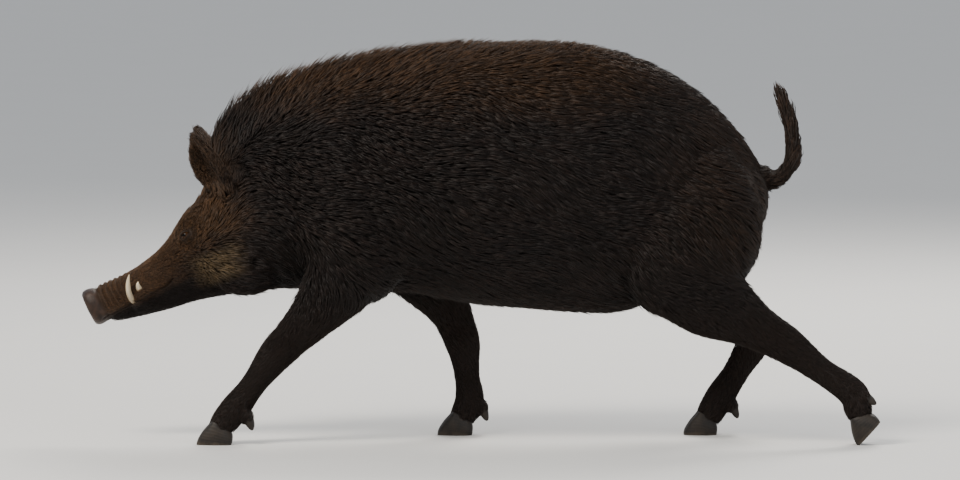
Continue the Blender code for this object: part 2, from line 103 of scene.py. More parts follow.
class Graph:
    # a material and the nodes that are added to it
    def __init__(self, name):
        self.material = bpy.data.materials.new(name)
        self.material.use_nodes = True
        self.tree = self.material.node_tree
        self.shader = self.tree.nodes["Principled BSDF"]

    def node(self, kind, settings=None, sockets=None, out=0):
        # any node by its type, its settings, and the values or wires of its sockets
        made = self.tree.nodes.new(kind)
        for key, value in (settings or {}).items():
            setattr(made, key, value)
        pairs = sockets.items() if isinstance(sockets, dict) else enumerate(sockets or [])
        for key, value in pairs:
            self.plug(made.inputs[key], value)
        return Wire(self, made.outputs[out])

    def plug(self, socket, value):
        if isinstance(value, Wire):
            self.tree.links.new(value.socket, socket)
        elif socket.type == "RGBA" and len(value) == 3:
            socket.default_value = (*value, 1.0)
        else:
            socket.default_value = value

    def finish(self, **sockets):
        for key, value in sockets.items():
            self.plug(self.shader.inputs[key.replace("_", " ")], value)
        return self.material

    def place(self):
        return self.node("ShaderNodeTexCoord", out="Object")

    def axes(self, vector):
        return [self.node("ShaderNodeSeparateXYZ", None, [vector], axis) for axis in "XYZ"]

    def stretched(self, vector, scale):
        return self.node("ShaderNodeMapping", None, {"Vector": vector, "Scale": scale})

    def noise(self, vector, scale, detail):
        sockets = {"Vector": vector, "Scale": scale, "Detail": detail, "Roughness": 0.55}
        return self.node("ShaderNodeTexNoise", None, sockets, "Fac")

    def cells(self, vector, scale):
        return self.node("ShaderNodeTexVoronoi", None, {"Vector": vector, "Scale": scale}, "Distance")

    def mix(self, share, first, second, blend="MIX"):
        settings = {"data_type": "RGBA", "blend_type": blend}
        return self.node("ShaderNodeMix", settings, {0: share, 6: first, 7: second}, 2)

    def bump(self, height, distance, strength):
        sockets = {"Height": height, "Distance": distance, "Strength": strength}
        return self.node("ShaderNodeBump", None, sockets)

    def attribute(self, name):
        return self.node("ShaderNodeAttribute", {"attribute_name": name}, None, "Fac")


shift = -0.0481  # the stations below are measured before the origin was centred
head = {
    "nose": Vector((-0.7650 + shift, 0.0, 0.287)),
    "pitch": 26.0,  # degrees
    "eyeAt": (0.240, 0.075, 0.052),  # back from the nose, to the side, above the axis
    "eyeRadius": 0.0125,
    "gaze": (-0.50, 0.84, 0.20),
}
headTurn = math.radians(head["pitch"])
headBack = Vector((math.cos(headTurn), 0, math.sin(headTurn)))
headUp = Vector((-math.sin(headTurn), 0, math.cos(headTurn)))


def onHead(reach, side, above):
    # a point by its distances back from the nose, to the side and above the head's axis
    return head["nose"] + headBack * reach + Vector((0, side, 0)) + headUp * above


def inHead(placed):
    # the same three distances for an array of points
    rel = placed - np.array(head["nose"])
    return rel @ np.array(headBack), rel[:, 1], rel @ np.array(headUp)


sideways = Vector((0, 1, 0))


def mirrored(row, side):
    # side is -1 on the left and 1 on the right
    return Vector((row[0], side * row[1], row[2]))


def inBetween(rows, steps):
    # a smooth curve through rows of any numbers
    count = len(rows)
    out = []
    for i in range(count - 1):
        p = [rows[max(0, min(count - 1, i + k))] for k in (-1, 0, 1, 2)]
        for j in range(steps):
            t = j / steps
            out.append(tuple(
                0.5 * (2 * b + (c - a) * t + (2 * a - 5 * b + 4 * c - d) * t * t
                       + (3 * b - a - 3 * c + d) * t ** 3)
                for a, b, c, d in zip(*p)))
    return out + [tuple(rows[-1])]


def power(value, exponent):
    return math.copysign(abs(value) ** exponent, value)


def section(centre, across, up, half, above, below, squareUp, squareDown, corners):
    # a ring; squareness 2 is an ellipse, and more of it comes nearer to a box
    ring = []
    for i in range(corners):
        turn = 2 * math.pi * i / corners
        square, reach = (squareUp, above) if math.cos(turn) > 0 else (squareDown, below)
        side = half * power(math.sin(turn), 2 / square)
        ring.append(centre + across * side + up * (reach * power(math.cos(turn), 2 / square)))
    return ring


def loft(name, rings):
    # a closed mesh over rings of as many corners each
    mesh = bpy.data.meshes.new(name)
    bm = bmesh.new()
    loops = [[bm.verts.new(point) for point in ring] for ring in rings]
    for low, high in zip(loops, loops[1:]):
        for i in range(len(low)):
            j = (i + 1) % len(low)
            bm.faces.new((low[i], low[j], high[j], high[i]))
    bm.faces.new(loops[0][::-1])
    bm.faces.new(loops[-1])
    bmesh.ops.recalc_face_normals(bm, faces=bm.faces)
    bm.to_mesh(mesh)
    bm.free()
    return mesh


def ball(name, centre, radii, pitch=0.0, rings=20):
    bm = bmesh.new()
    bmesh.ops.create_uvsphere(bm, u_segments=rings + 8, v_segments=rings, radius=1.0)
    turn = Matrix.Rotation(math.radians(pitch), 4, "Y")
    bm.transform(Matrix.Translation(centre) @ turn @ Matrix.Diagonal((*radii, 1.0)))
    mesh = bpy.data.meshes.new(name)
    bm.to_mesh(mesh)
    bm.free()
    return mesh


def along(line, i):
    # the way a line runs at its point i
    return (line[min(i + 1, len(line) - 1)] - line[max(i - 1, 0)]).normalized()


def addObject(name, mesh, material=None):
    made = bpy.data.objects.new(name, mesh)
    bpy.context.scene.collection.objects.link(made)
    if material:
        mesh.materials.clear()
        mesh.materials.append(material)
    return made


def joined(name, meshes):
    # one mesh of several; those that no object uses are removed
    bm = bmesh.new()
    for mesh in meshes:
        bm.from_mesh(mesh)
        if not mesh.users:
            bpy.data.meshes.remove(mesh)
    whole = bpy.data.meshes.new(name)
    bm.to_mesh(whole)
    bm.free()
    return whole


def applied(name, mesh, *modifiers):
    # the mesh with a stack of modifiers applied, each given as (type, settings)
    held = addObject(name + "Work", mesh)
    for kind, settings in modifiers:
        made = held.modifiers.new(kind.lower(), kind)
        for key, value in settings.items():
            setattr(made, key, value)
    graph = bpy.context.evaluated_depsgraph_get()
    out = bpy.data.meshes.new_from_object(held.evaluated_get(graph))
    out.name = name
    bpy.data.objects.remove(held)
    return out


def points(mesh):
    flat = np.empty(len(mesh.vertices) * 3, np.float32)
    mesh.vertices.foreach_get("co", flat)
    return flat.reshape(-1, 3).astype(float)


def normals(mesh):
    flat = np.empty(len(mesh.vertices) * 3, np.float32)
    mesh.vertex_normals.foreach_get("vector", flat)
    return flat.reshape(-1, 3).astype(float)


def setPoints(mesh, placed):
    mesh.vertices.foreach_set("co", placed.astype(np.float32).ravel())
    mesh.update()


def triangles(mesh):
    mesh.calc_loop_triangles()
    corners = np.empty(len(mesh.loop_triangles) * 3, np.int32)
    mesh.loop_triangles.foreach_get("vertices", corners)
    return corners.reshape(-1, 3)


def marked(mesh, label, values):
    # one number at each vertex, for the materials
    made = mesh.attributes.new(label, "FLOAT", "POINT")
    made.data.foreach_set("value", values)
    return mesh


def step(value, low, high):
    # smooth step for arrays; low may be above high
    t = np.clip((value - low) / (high - low), 0, 1)
    return t * t * (3 - 2 * t)


def hump(value, centre, width):
    return np.exp(-((value - centre) / width) ** 2)


def unit(vectors):
    return vectors / np.maximum(np.linalg.norm(vectors, axis=-1, keepdims=True), 1e-9)


def nearLine(placed, line):
    # distance to a polyline, its direction there, the share of its length, and the point itself
    a, b = line[:-1], line[1:]
    span = b - a
    reach = np.linalg.norm(span, axis=1)
    start = np.concatenate([[0], np.cumsum(reach)])
    best = np.full(len(placed), 9.0)
    way = np.zeros((len(placed), 3))
    share = np.zeros(len(placed))
    foot = np.zeros((len(placed), 3))
    for i in range(len(a)):
        t = np.clip((placed - a[i]) @ span[i] / reach[i] ** 2, 0, 1)
        found = a[i] + t[:, None] * span[i]
        far = np.linalg.norm(placed - found, axis=1)
        near = far < best
        best[near] = far[near]
        way[near] = span[i] / reach[i]
        share[near] = ((start[i] + t * reach[i]) / start[-1])[near]
        foot[near] = found[near]
    return best, way, share, foot


tusks = {  # along the head, to the side, above its axis, radius
    "tusk": (
        (0.091, 0.012, -0.054, 0.0060),
        (0.086, 0.025, -0.045, 0.0062),
        (0.080, 0.036, -0.032, 0.0070),
        (0.074, 0.046, -0.018, 0.0068),
        (0.076, 0.054, 0.000, 0.0058),
        (0.084, 0.058, 0.018, 0.0042),
        (0.093, 0.058, 0.031, 0.0012),
    ),
    "upperTusk": (
        (0.104, 0.026, -0.024, 0.0075),
        (0.101, 0.037, -0.018, 0.0080),
        (0.098, 0.046, -0.008, 0.0070),
        (0.099, 0.050, 0.002, 0.0046),
        (0.103, 0.050, 0.009, 0.0012),
    ),
}
skin = {
    "voxel": 0.0042,
    "smoothing": 8,  # rounds over the whole skin
    "blending": 60,  # more rounds over the trunk
    "bodyTriangles": 45000,
    "thinFrom": 0.36,  # distance behind the nose where the thinning out begins and where it is full
    "thinFull": 0.46,
    "legGrowth": 0.0018,
    "tuskCollar": 0.0072,  # width of the lip round a tusk's root
    "collarRings": {"tusk": 12, "upperTusk": 8},
}
# back from the nose, reach above, below, half width, squareness up and down
headRows = (
    (-0.004, 0.034, 0.038, 0.035, 2.2, 2.3),
    (0.030, 0.034, 0.053, 0.037, 2.0, 2.2),
    (0.085, 0.033, 0.064, 0.043, 1.9, 2.0),
    (0.140, 0.039, 0.073, 0.053, 1.9, 2.0),
    (0.195, 0.056, 0.080, 0.069, 2.0, 2.0),
    (0.245, 0.086, 0.091, 0.088, 2.1, 2.0),
    (0.305, 0.106, 0.106, 0.104, 2.1, 2.0),
)
# x, z, pitch, reach above, below, half width, squareness up and down
bodyRows = (
    (-0.437, 0.448, 25.0, 0.150, 0.126, 0.121, 1.8, 2.0),
    (-0.360, 0.492, 17.0, 0.196, 0.162, 0.146, 1.7, 2.0),
    (-0.250, 0.530, 8.0, 0.224, 0.204, 0.176, 1.7, 2.1),
    (-0.120, 0.552, 3.0, 0.238, 0.226, 0.194, 1.8, 2.1),
    (0.040, 0.562, 0.0, 0.258, 0.264, 0.204, 2.0, 2.1),
    (0.180, 0.560, 0.0, 0.268, 0.274, 0.201, 2.1, 2.1),
    (0.320, 0.552, -5.0, 0.259, 0.274, 0.186, 2.1, 2.1),
    (0.430, 0.530, -14.0, 0.222, 0.251, 0.168, 2.1, 2.1),
    (0.520, 0.500, -27.0, 0.161, 0.204, 0.137, 2.1, 2.1),
    (0.588, 0.468, -42.0, 0.093, 0.130, 0.087, 2.0, 2.0),
    (0.618, 0.446, -50.0, 0.036, 0.052, 0.040, 2.0, 2.0),
)
# centre, radii and pitch of each mass; mirrored on both sides
masses = (
    ((-0.225, 0.112, 0.490), (0.118, 0.078, 0.190), -12.0),  # shoulder
    ((0.484, 0.088, 0.455), (0.150, 0.088, 0.186), 10.0),  # ham
    ((-0.462, 0.064, 0.398), (0.094, 0.056, 0.074), 26.0),  # jowl
    ((-0.563, 0.047, 0.466), (0.046, 0.026, 0.019), -48.0),  # brow
    ((-0.518, 0.070, 0.430), (0.066, 0.022, 0.028), -30.0),  # cheekbone
)
# joints of each leg: x, side, z, half depth, half width
legRows = {
    "foreLeft": (-1, (
        (-0.215, 0.116, 0.470, 0.084, 0.052),
        (-0.238, 0.124, 0.360, 0.070, 0.048),
        (-0.305, 0.121, 0.272, 0.045, 0.037),
        (-0.350, 0.118, 0.224, 0.034, 0.030),
        (-0.385, 0.115, 0.188, 0.033, 0.031),
        (-0.432, 0.112, 0.125, 0.023, 0.023),
        (-0.470, 0.110, 0.075, 0.028, 0.029),
        (-0.494, 0.110, 0.045, 0.025, 0.030),
        (-0.502, 0.110, 0.028, 0.021, 0.026),
    )),
    "foreRight": (1, (
        (-0.190, 0.116, 0.470, 0.084, 0.052),
        (-0.096, 0.124, 0.365, 0.064, 0.046),
        (-0.024, 0.119, 0.278, 0.042, 0.035),
        (-0.002, 0.116, 0.232, 0.034, 0.030),
        (0.012, 0.114, 0.192, 0.033, 0.031),
        (0.020, 0.112, 0.128, 0.023, 0.023),
        (0.026, 0.110, 0.075, 0.028, 0.029),
        (0.014, 0.110, 0.045, 0.025, 0.030),
        (0.006, 0.110, 0.028, 0.021, 0.026),
    )),
    "hindLeft": (-1, (
        (0.455, 0.096, 0.500, 0.124, 0.070),
        (0.482, 0.120, 0.395, 0.114, 0.062),
        (0.530, 0.125, 0.314, 0.082, 0.047),
        (0.620, 0.122, 0.256, 0.046, 0.032),
        (0.700, 0.119, 0.208, 0.034, 0.028),
        (0.768, 0.117, 0.157, 0.024, 0.023),
        (0.835, 0.115, 0.110, 0.028, 0.028),
        (0.847, 0.115, 0.076, 0.025, 0.030),
        (0.852, 0.115, 0.059, 0.022, 0.026),
    )),
    "hindRight": (1, (
        (0.455, 0.096, 0.500, 0.124, 0.070),
        (0.462, 0.120, 0.395, 0.114, 0.062),
        (0.502, 0.125, 0.312, 0.080, 0.047),
        (0.582, 0.122, 0.256, 0.043, 0.031),
        (0.636, 0.119, 0.212, 0.034, 0.027),
        (0.600, 0.117, 0.140, 0.024, 0.023),
        (0.562, 0.115, 0.080, 0.028, 0.028),
        (0.542, 0.115, 0.046, 0.025, 0.030),
        (0.534, 0.115, 0.029, 0.021, 0.026),
    )),
}
feet = {  # side, sole's middle, degrees the hoof stands up on its tip, length, fetlock
    "fore_left": (-1, (-0.508, 0.110), 0.0, 0.074, (-0.470, 0.110, 0.075)),
    "fore_right": (1, (0.000, 0.110), 0.0, 0.074, (0.026, 0.110, 0.075)),
    "hind_left": (-1, (0.887, 0.115), 48.0, 0.070, (0.835, 0.115, 0.110)),
    "hind_right": (1, (0.525, 0.115), 0.0, 0.070, (0.562, 0.115, 0.080)),
}
dewClaws = {
    "length": 0.026,
    "spread": 0.021,
    "behind": 0.027,
    "below": 0.020,
    "raised": 0.010,  # on a foot that stands on its tip
    "collar": (0.0135, 0.0125, 0.0170),
    "corners": 20,
    "rows": (  # share of the length, radius
        (-0.55, 0.0095), (-0.1, 0.0101), (0.3, 0.0098), (0.75, 0.0066), (0.97, 0.0030), (1.0, 0.0010),
    ),
}
tailRows = (
    (0.600, 0.545, 0.022), (0.640, 0.559, 0.020), (0.680, 0.556, 0.015), (0.708, 0.590, 0.011),
    (0.711, 0.642, 0.008), (0.702, 0.686, 0.006), (0.693, 0.716, 0.004),
)


def tubeMesh():
    rows = []
    for reach, above, below, half, squareUp, squareDown in headRows:
        centre = onHead(reach, 0, 0)
        rows.append((centre.x - shift, centre.z, head["pitch"], above, below, half, squareUp, squareDown))
    rows += bodyRows
    rings = []
    for x, z, pitch, above, below, half, squareUp, squareDown in inBetween(rows, 8):
        turn = math.radians(pitch)
        up = Vector((-math.sin(turn), 0, math.cos(turn)))
        rings.append(section(Vector((x + shift, 0, z)), sideways, up, half, above, below,
                             squareUp, squareDown, corners=72))
    return loft("tube", rings)


def lineOf(rows, side):
    return [mirrored((row[0] + shift, row[1], row[2]), side) for row in rows]


def legMesh(side, rows):
    rows = inBetween(rows, 6)
    line = lineOf(rows, side)
    rings = []
    for i, row in enumerate(rows):
        front = sideways.cross(along(line, i)).normalized()
        wide, deep = row[4] + skin["legGrowth"], row[3] + skin["legGrowth"]
        rings.append(section(line[i], sideways, front, wide, deep, deep,
                             squareUp=2.1, squareDown=2.1, corners=28))
    return loft("leg", rings)


def tailMesh():
    rows = inBetween(tailRows, 5)
    line = [Vector((x + shift, 0, z)) for x, z, _ in rows]
    rings = []
    for i, (_, _, radius) in enumerate(rows):
        front = sideways.cross(along(line, i)).normalized()
        rings.append(section(line[i], sideways, front, radius, radius, radius,
                             squareUp=2, squareDown=2, corners=16))
    return loft("tail", rings)


ears = {
    "root": (0.352, 0.078, 0.098),
    "lean": (-0.44, 0.34, 0.83),
    "facing": (-0.72, 0.62, -0.10),
    "length": 0.150,
    "rows": (  # share of the length, half width, half thickness, depth of the cup
        (-0.26, 0.020, 0.018, 0.000),
        (-0.05, 0.031, 0.014, 0.004),
        (0.18, 0.040, 0.0085, 0.014),
        (0.46, 0.041, 0.0070, 0.019),
        (0.72, 0.028, 0.0065, 0.015),
        (0.90, 0.012, 0.0060, 0.006),
        (1.00, 0.005, 0.0050, 0.000),
    ),
}


def earFrame(side):
    # the root, and the ways to the tip, out of the cup and across it
    root = onHead(*mirrored(ears["root"], side))
    axis = mirrored(ears["lean"], side).normalized()
    face = mirrored(ears["facing"], side)
    face = (face - axis * face.dot(axis)).normalized()
    return root, axis, face, axis.cross(face).normalized()


def earMesh(side):
    root, axis, face, across = earFrame(side)
    rings = []
    for share, wide, thick, cup in inBetween(ears["rows"], 6):
        centre = root + axis * (share * ears["length"])
        ring = section(centre, across, face, wide, thick, thick,
                       squareUp=3.2, squareDown=3.2, corners=36)
        for i, point in enumerate(ring):
            off = (point - centre).dot(across) / wide
            ring[i] = point + face * (cup * (2 * off * off - 1))
        rings.append(ring)
    return loft("ear", rings)


def tuskStations(side, rows):
    # centre, across, front and radius at each row of a tusk
    line = [onHead(reach, side * out, above) for reach, out, above, _ in rows]
    for i, row in enumerate(rows):
        axis = along(line, i)
        front = axis.cross(Vector((1, 0, 0))).normalized()
        yield line[i], axis.cross(front), front, row[3]


def collarMesh(side, rows, until):
    # the lip that a tusk grows out of
    rings = []
    for i, (centre, across, front, radius) in enumerate(tuskStations(side, inBetween(rows, 4)[:until])):
        wide = radius + skin["tuskCollar"] * (1 - 0.45 * (i / (until - 1)) ** 3)
        rings.append(section(centre, across, front, wide, wide, wide,
                             squareUp=2, squareDown=2, corners=16))
    return loft("collar", rings)


disc = {
    "thickness": 0.030,
    "behindNose": 0.010,  # where its thickness is measured from
    "rows": (  # share of the thickness, reach above, below, half width
        (0.30, 0.030, 0.032, 0.032),
        (-0.02, 0.0355, 0.038, 0.037),
        (-0.25, 0.0385, 0.0395, 0.040),
        (-0.60, 0.0405, 0.0415, 0.0420),
        (-0.88, 0.0390, 0.040, 0.0405),
        (-1.00, 0.034, 0.035, 0.0355),
    ),
}


def discMesh():
    rings = []
    for share, above, below, wide in disc["rows"]:
        centre = head["nose"] + headBack * (share * disc["thickness"] + disc["behindNose"])
        rings.append(section(centre, sideways, headUp, wide, above, below,
                             squareUp=2.4, squareDown=2.3, corners=48))
    return loft("disc", rings)


mouth = {  # height of the line between the lips, by distance back from the nose
    "reach": (-0.03, 0.040, 0.100, 0.150, 0.178),
    "above": (-0.031, -0.031, -0.026, -0.025, -0.016),
}


def mouthLine(reach):
    return np.interp(reach, mouth["reach"], mouth["above"])


def eyeFrame(side):
    # the centre, and the ways out of the head, forward and up across the eyeball
    centre = onHead(*mirrored(head["eyeAt"], side))
    out = mirrored(head["gaze"], side).normalized()
    forward = (-headBack - out * (-headBack).dot(out)).normalized()
    return centre, out, forward, out.cross(forward).normalized() * -side


def eyeDistance(placed):
    return np.minimum(*(np.linalg.norm(placed - np.array(eyeFrame(side)[0]), axis=1) for side in (-1, 1)))


lids = {
    "reach": 0.040,  # how far from an eye the skin is shaped
    "half": 0.0128,  # half the length of the opening
    "upper": 0.0066,  # how far each lid opens
    "lower": 0.0048,
    "tilt": 0.10,  # the inner corner sits lower
    "edge": 0.0018,
    "thickness": 0.0024,
    "rim": 0.0012,
    "overEye": 0.0030,
    "underEye": 0.0024,
    "crease": 0.0018,
    "foldSpacing": 0.0048,
    "foldDepth": 0.0007,
}


def shapeLids(placed):
    # draws the skin over the eyeballs as two lids with an almond opening
    radius = head["eyeRadius"]
    for side in (-1, 1):
        centre, out, forward, up = (np.array(v) for v in eyeFrame(side))
        rel = placed - centre
        u, v, w = rel @ forward, rel @ up, rel @ out
        flat = np.hypot(u, v)
        near = (flat < lids["reach"]) & (w > -0.03) & (w < 0.04)
        high = np.where(v > 0, lids["upper"], lids["lower"]) * np.clip(1 - (u / lids["half"]) ** 2, 0, 1)
        off = np.abs(v - lids["tilt"] * u)
        inside = np.clip((high - off) / lids["edge"], 0, 1) * (np.abs(u) < lids["half"])
        dome = np.sqrt(np.clip(radius ** 2 - np.minimum(flat, radius * 0.98) ** 2, 0, None))
        lid = dome + lids["thickness"] + lids["rim"] * hump(off - high, 0.0012, 0.0016)
        lid += lids["overEye"] * hump(v, 0.0135, 0.0045) - lids["underEye"] * hump(v, -0.0150, 0.0040)
        target = w + (lid - w) * step(flat, 0.026, 0.012)
        target = target + (dome * 0.55 - 0.004 - target) * step(inside, 0.05, 0.7)
        target -= lids["crease"] * hump(flat, 0.0185, 0.0018) * step(flat, 0.010, 0.016) * near
        folds = np.sin((flat + 0.18 * v) * 2 * math.pi / lids["foldSpacing"])
        folds = folds * step(flat, 0.016, 0.020) * step(flat, 0.034, 0.024)
        target += lids["foldDepth"] * folds * step(v, 0.006, -0.004)
        moved = placed + (target - w)[:, None] * out
        placed = np.where(near[:, None], moved, placed)
    return placed


snout = {
    "discHalf": (0.040, 0.041),  # half width and half height of the disc's face
    "dish": 0.0030,
    "rim": 0.0012,
    "nostrilAt": (0.0168, 0.003),  # to the side, above the head's axis
    "nostrilHalf": (0.0082, 0.0112),
    "nostrilLean": 0.22,
    "nostrilDepth": 0.017,
    "nostrilRim": 0.0020,
    "notch": 0.0024,
    "foldSpacing": 0.0115,
    "foldDepth": 0.0017,
    "groove": 0.0025,  # round the snout, behind the disc
    "lipGroove": 0.0050,
    "upperLip": 0.0022,
    "jaw": 0.0040,  # how far it stands back
    # swellings round the tusks' roots: along the head, above its axis, length, height, amount
    "tuskLips": ((0.104, -0.018, 0.024, 0.012, 0.0040), (0.083, -0.042, 0.020, 0.012, 0.0050)),
    "boneEdge": 0.0022,
    "hollow": 0.0050,  # before the eye
}


def shapeSnout(placed, facing):
    reach, side, above = inHead(placed)
    off = np.abs(side)
    # the disc's face: dished, with a raised rim, two nostrils and a notch below
    across = np.hypot(side / snout["discHalf"][0], above / snout["discHalf"][1])
    push = snout["dish"] * step(across, 0.85, 0.2) - snout["rim"] * hump(across, 0.86, 0.10)
    out, high = snout["nostrilAt"]
    lean = (off - out) + snout["nostrilLean"] * (above - high)
    ring = np.hypot(lean / snout["nostrilHalf"][0], (above - high) / snout["nostrilHalf"][1])
    push += snout["nostrilDepth"] * step(ring, 1.02, 0.45) - snout["nostrilRim"] * hump(ring, 1.22, 0.20)
    push += snout["notch"] * hump(side, 0, 0.0026) * step(above, -0.004, -0.016)
    placed = placed + (push * step(reach, -0.008, -0.016))[:, None] * np.array(headBack)
    # folds behind the disc
    wave = np.sin(2 * math.pi * (reach + 0.16 * off + 0.05 * above) / snout["foldSpacing"])
    folds = step(reach, 0.008, 0.016) * step(reach, 0.100, 0.050) * step(above, -0.028, -0.010)
    push = snout["foldDepth"] * wave * folds - snout["groove"] * hump(reach, 0.013, 0.004)
    # the closed mouth: a groove, a fuller upper lip and a narrower jaw
    line = mouthLine(reach)
    jaw = step(reach, -0.004, 0.010) * step(reach, 0.182, 0.160)
    push -= snout["lipGroove"] * hump(above, line, 0.0026) * jaw
    push += snout["upperLip"] * hump(above, line + 0.0085, 0.0055) * jaw
    push -= snout["jaw"] * step(above, line - 0.001, line - 0.006) * jaw * step(reach, 0.15, 0.02)
    # the lip is pushed out over the tusks' roots
    for spot, high, wide, tall, amount in snout["tuskLips"]:
        push += amount * np.exp(-(((reach - spot) / wide) ** 4 + ((above - high) / tall) ** 4))
    # the bone's edge along the top of the snout, and the hollow before the eye
    edge = hump(off, 0.026, 0.008) * step(above, 0.016, 0.026) * hump(reach, 0.11, 0.07)
    push += snout["boneEdge"] * edge
    push -= snout["hollow"] * np.exp(-((reach - 0.185) / 0.028) ** 2 - ((above - 0.018) / 0.016) ** 2)
    return placed + push[:, None] * facing


def refined(mesh, chosen):
    # splits the faces whose corners are all chosen
    bm = bmesh.new()
    bm.from_mesh(mesh)
    bm.verts.ensure_lookup_table()
    edges = [edge for edge in bm.edges if chosen[edge.verts[0].index] and chosen[edge.verts[1].index]]
    bmesh.ops.subdivide_edges(bm, edges=edges, cuts=1, use_grid_fill=True, smooth=0.0)
    bmesh.ops.triangulate(bm, faces=[face for face in bm.faces if len(face.verts) > 4])
    bm.to_mesh(mesh)
    bm.free()


def faceZone(placed):
    # the muzzle and the skin round the eyes
    reach = inHead(placed)[0]
    return (reach > -0.05) & (reach < 0.20) | (eyeDistance(placed) < 0.052)


def fineZone(placed):
    # the disc, the lips and the lids
    reach, _, above = inHead(placed)
    lips = (np.abs(above - mouthLine(reach)) < 0.012) & (reach > -0.01) & (reach < 0.19)
    return (reach > -0.05) & (reach < -0.002) | lips | (eyeDistance(placed) < 0.030)


def grade(held, name, weight):
    # a vertex group in five even grades
    group = held.vertex_groups.new(name=name)
    level = np.round(weight * 5) / 5
    for value in np.unique(level[level > 0]):
        group.add([int(i) for i in np.nonzero(level == value)[0]], float(value), "REPLACE")


def dewClawAt(foot, sign):
    # where a dew claw leaves the leg, and the way it points
    side, _, standUp, _, fetlock = feet[foot]
    lean = math.radians(standUp * 0.75)
    axis = Vector((0.45 * math.cos(lean) + math.sin(lean), 0, 0.45 * math.sin(lean) - math.cos(lean)))
    point = Vector((fetlock[0] + shift + dewClaws["behind"],
                    side * (fetlock[1] + sign * dewClaws["spread"]),
                    fetlock[2] - dewClaws["below"] + dewClaws["raised"] * (standUp > 0)))
    return point, axis.normalized()


def dewCollars():
    meshes = []
    for foot in feet:
        for sign in (1, -1):
            point, axis = dewClawAt(foot, sign)
            pitch = math.degrees(math.atan2(-axis.x, -axis.z))
            meshes.append(ball("collar", point - axis * 0.006, dewClaws["collar"], pitch, 12))
    return meshes


def skinMesh():
    meshes = [tubeMesh(), discMesh(), tailMesh()]
    meshes += [legMesh(side, rows) for side, rows in legRows.values()]
    meshes += [earMesh(side) for side in (-1, 1)]
    for kind, rows in tusks.items():
        meshes += [collarMesh(side, rows, skin["collarRings"][kind]) for side in (-1, 1)]
    meshes += dewCollars()
    for centre, radii, pitch in masses:
        for side in (-1, 1):
            place = mirrored((centre[0] + shift, centre[1], centre[2]), side)
            meshes.append(ball("mass", place, radii, pitch))
    fused = applied("skin", joined("skin", meshes),
                    ("REMESH", {"mode": "VOXEL", "voxel_size": skin["voxel"]}),
                    ("SMOOTH", {"factor": 0.5, "iterations": skin["smoothing"]}))
    say(f"skin fused: {len(fused.polygons)} faces")
    # the body's faces are blended and thinned out, the head's are kept
    held = addObject("skinWork", fused)
    placed = points(fused)
    weight = step(inHead(placed)[0], skin["thinFrom"], skin["thinFull"])
    grade(held, "thin", weight)
    # legs and tail are too slender to be blended as much as the trunk
    grade(held, "blend", weight * step(placed[:, 2], 0.26, 0.40) * step(placed[:, 0] - shift, 0.60, 0.54))
    modifier = held.modifiers.new("blend", "SMOOTH")
    modifier.factor, modifier.iterations, modifier.vertex_group = 0.6, skin["blending"], "blend"
    kept = int((weight <= 0).sum()) * 2
    modifier = held.modifiers.new("thin", "DECIMATE")
    modifier.vertex_group = "thin"
    modifier.vertex_group_factor = 10.0
    modifier.ratio = (skin["bodyTriangles"] + kept) / (2 * len(fused.polygons))
    graph = bpy.context.evaluated_depsgraph_get()
    thinned = bpy.data.meshes.new_from_object(held.evaluated_get(graph))
    bpy.data.objects.remove(held)
    say(f"skin thinned: {len(thinned.polygons)} faces")
    for zone in (faceZone, fineZone):
        refined(thinned, zone(points(thinned)))
    placed = points(thinned)
    placed = shapeSnout(placed, normals(thinned))
    placed = shapeLids(placed)
    setPoints(thinned, placed)
    thinned.shade_smooth()
    thinned.calc_loop_triangles()
    say(f"skin shaped: {len(thinned.loop_triangles)} triangles")
    return thinned


fleshNodes = [  # all that the one skin stands for
    "head", "neck", "trunk", "tail", "ear_left", "ear_right", "snout_disc",
    "foreleg_left", "foreleg_right", "hindleg_left", "hindleg_right",
]
skinShape = skinMesh()
skinObject = addObject("skin", skinShape)
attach(skinObject, "root")
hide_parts(*fleshNodes)


studio = {
    "floor": (0.62, 0.61, 0.59),
    "floorSize": 40,
    "sky": (0.80, 0.84, 0.90),
    "skyStrength": 0.85,
    "lights": (  # name, place, size, power, colour
        ("key", (-3.2, -3.6, 5.2), 2.4, 560, (1.0, 0.94, 0.84)),
        ("fill", (4.0, -4.5, 2.4), 4.0, 90, (0.92, 0.96, 1.0)),
        ("rim", (1.5, 4.2, 4.2), 2.6, 330, (1.0, 0.96, 0.90)),
    ),
    "lightAim": (0.0, 0.0, 0.4),
    "elevation": 4.0,  # of the camera, in degrees
    "distance": 17.0,
    "lens": 300.0,
    "aim": (0.0, 0.0, 0.425),
}


def aimed(name, data, place, aim):
    made = bpy.data.objects.new(name, data)
    made.location = place
    made.rotation_euler = (aim - place).to_track_quat("-Z", "Y").to_euler()
    bpy.context.scene.collection.objects.link(made)
    return made


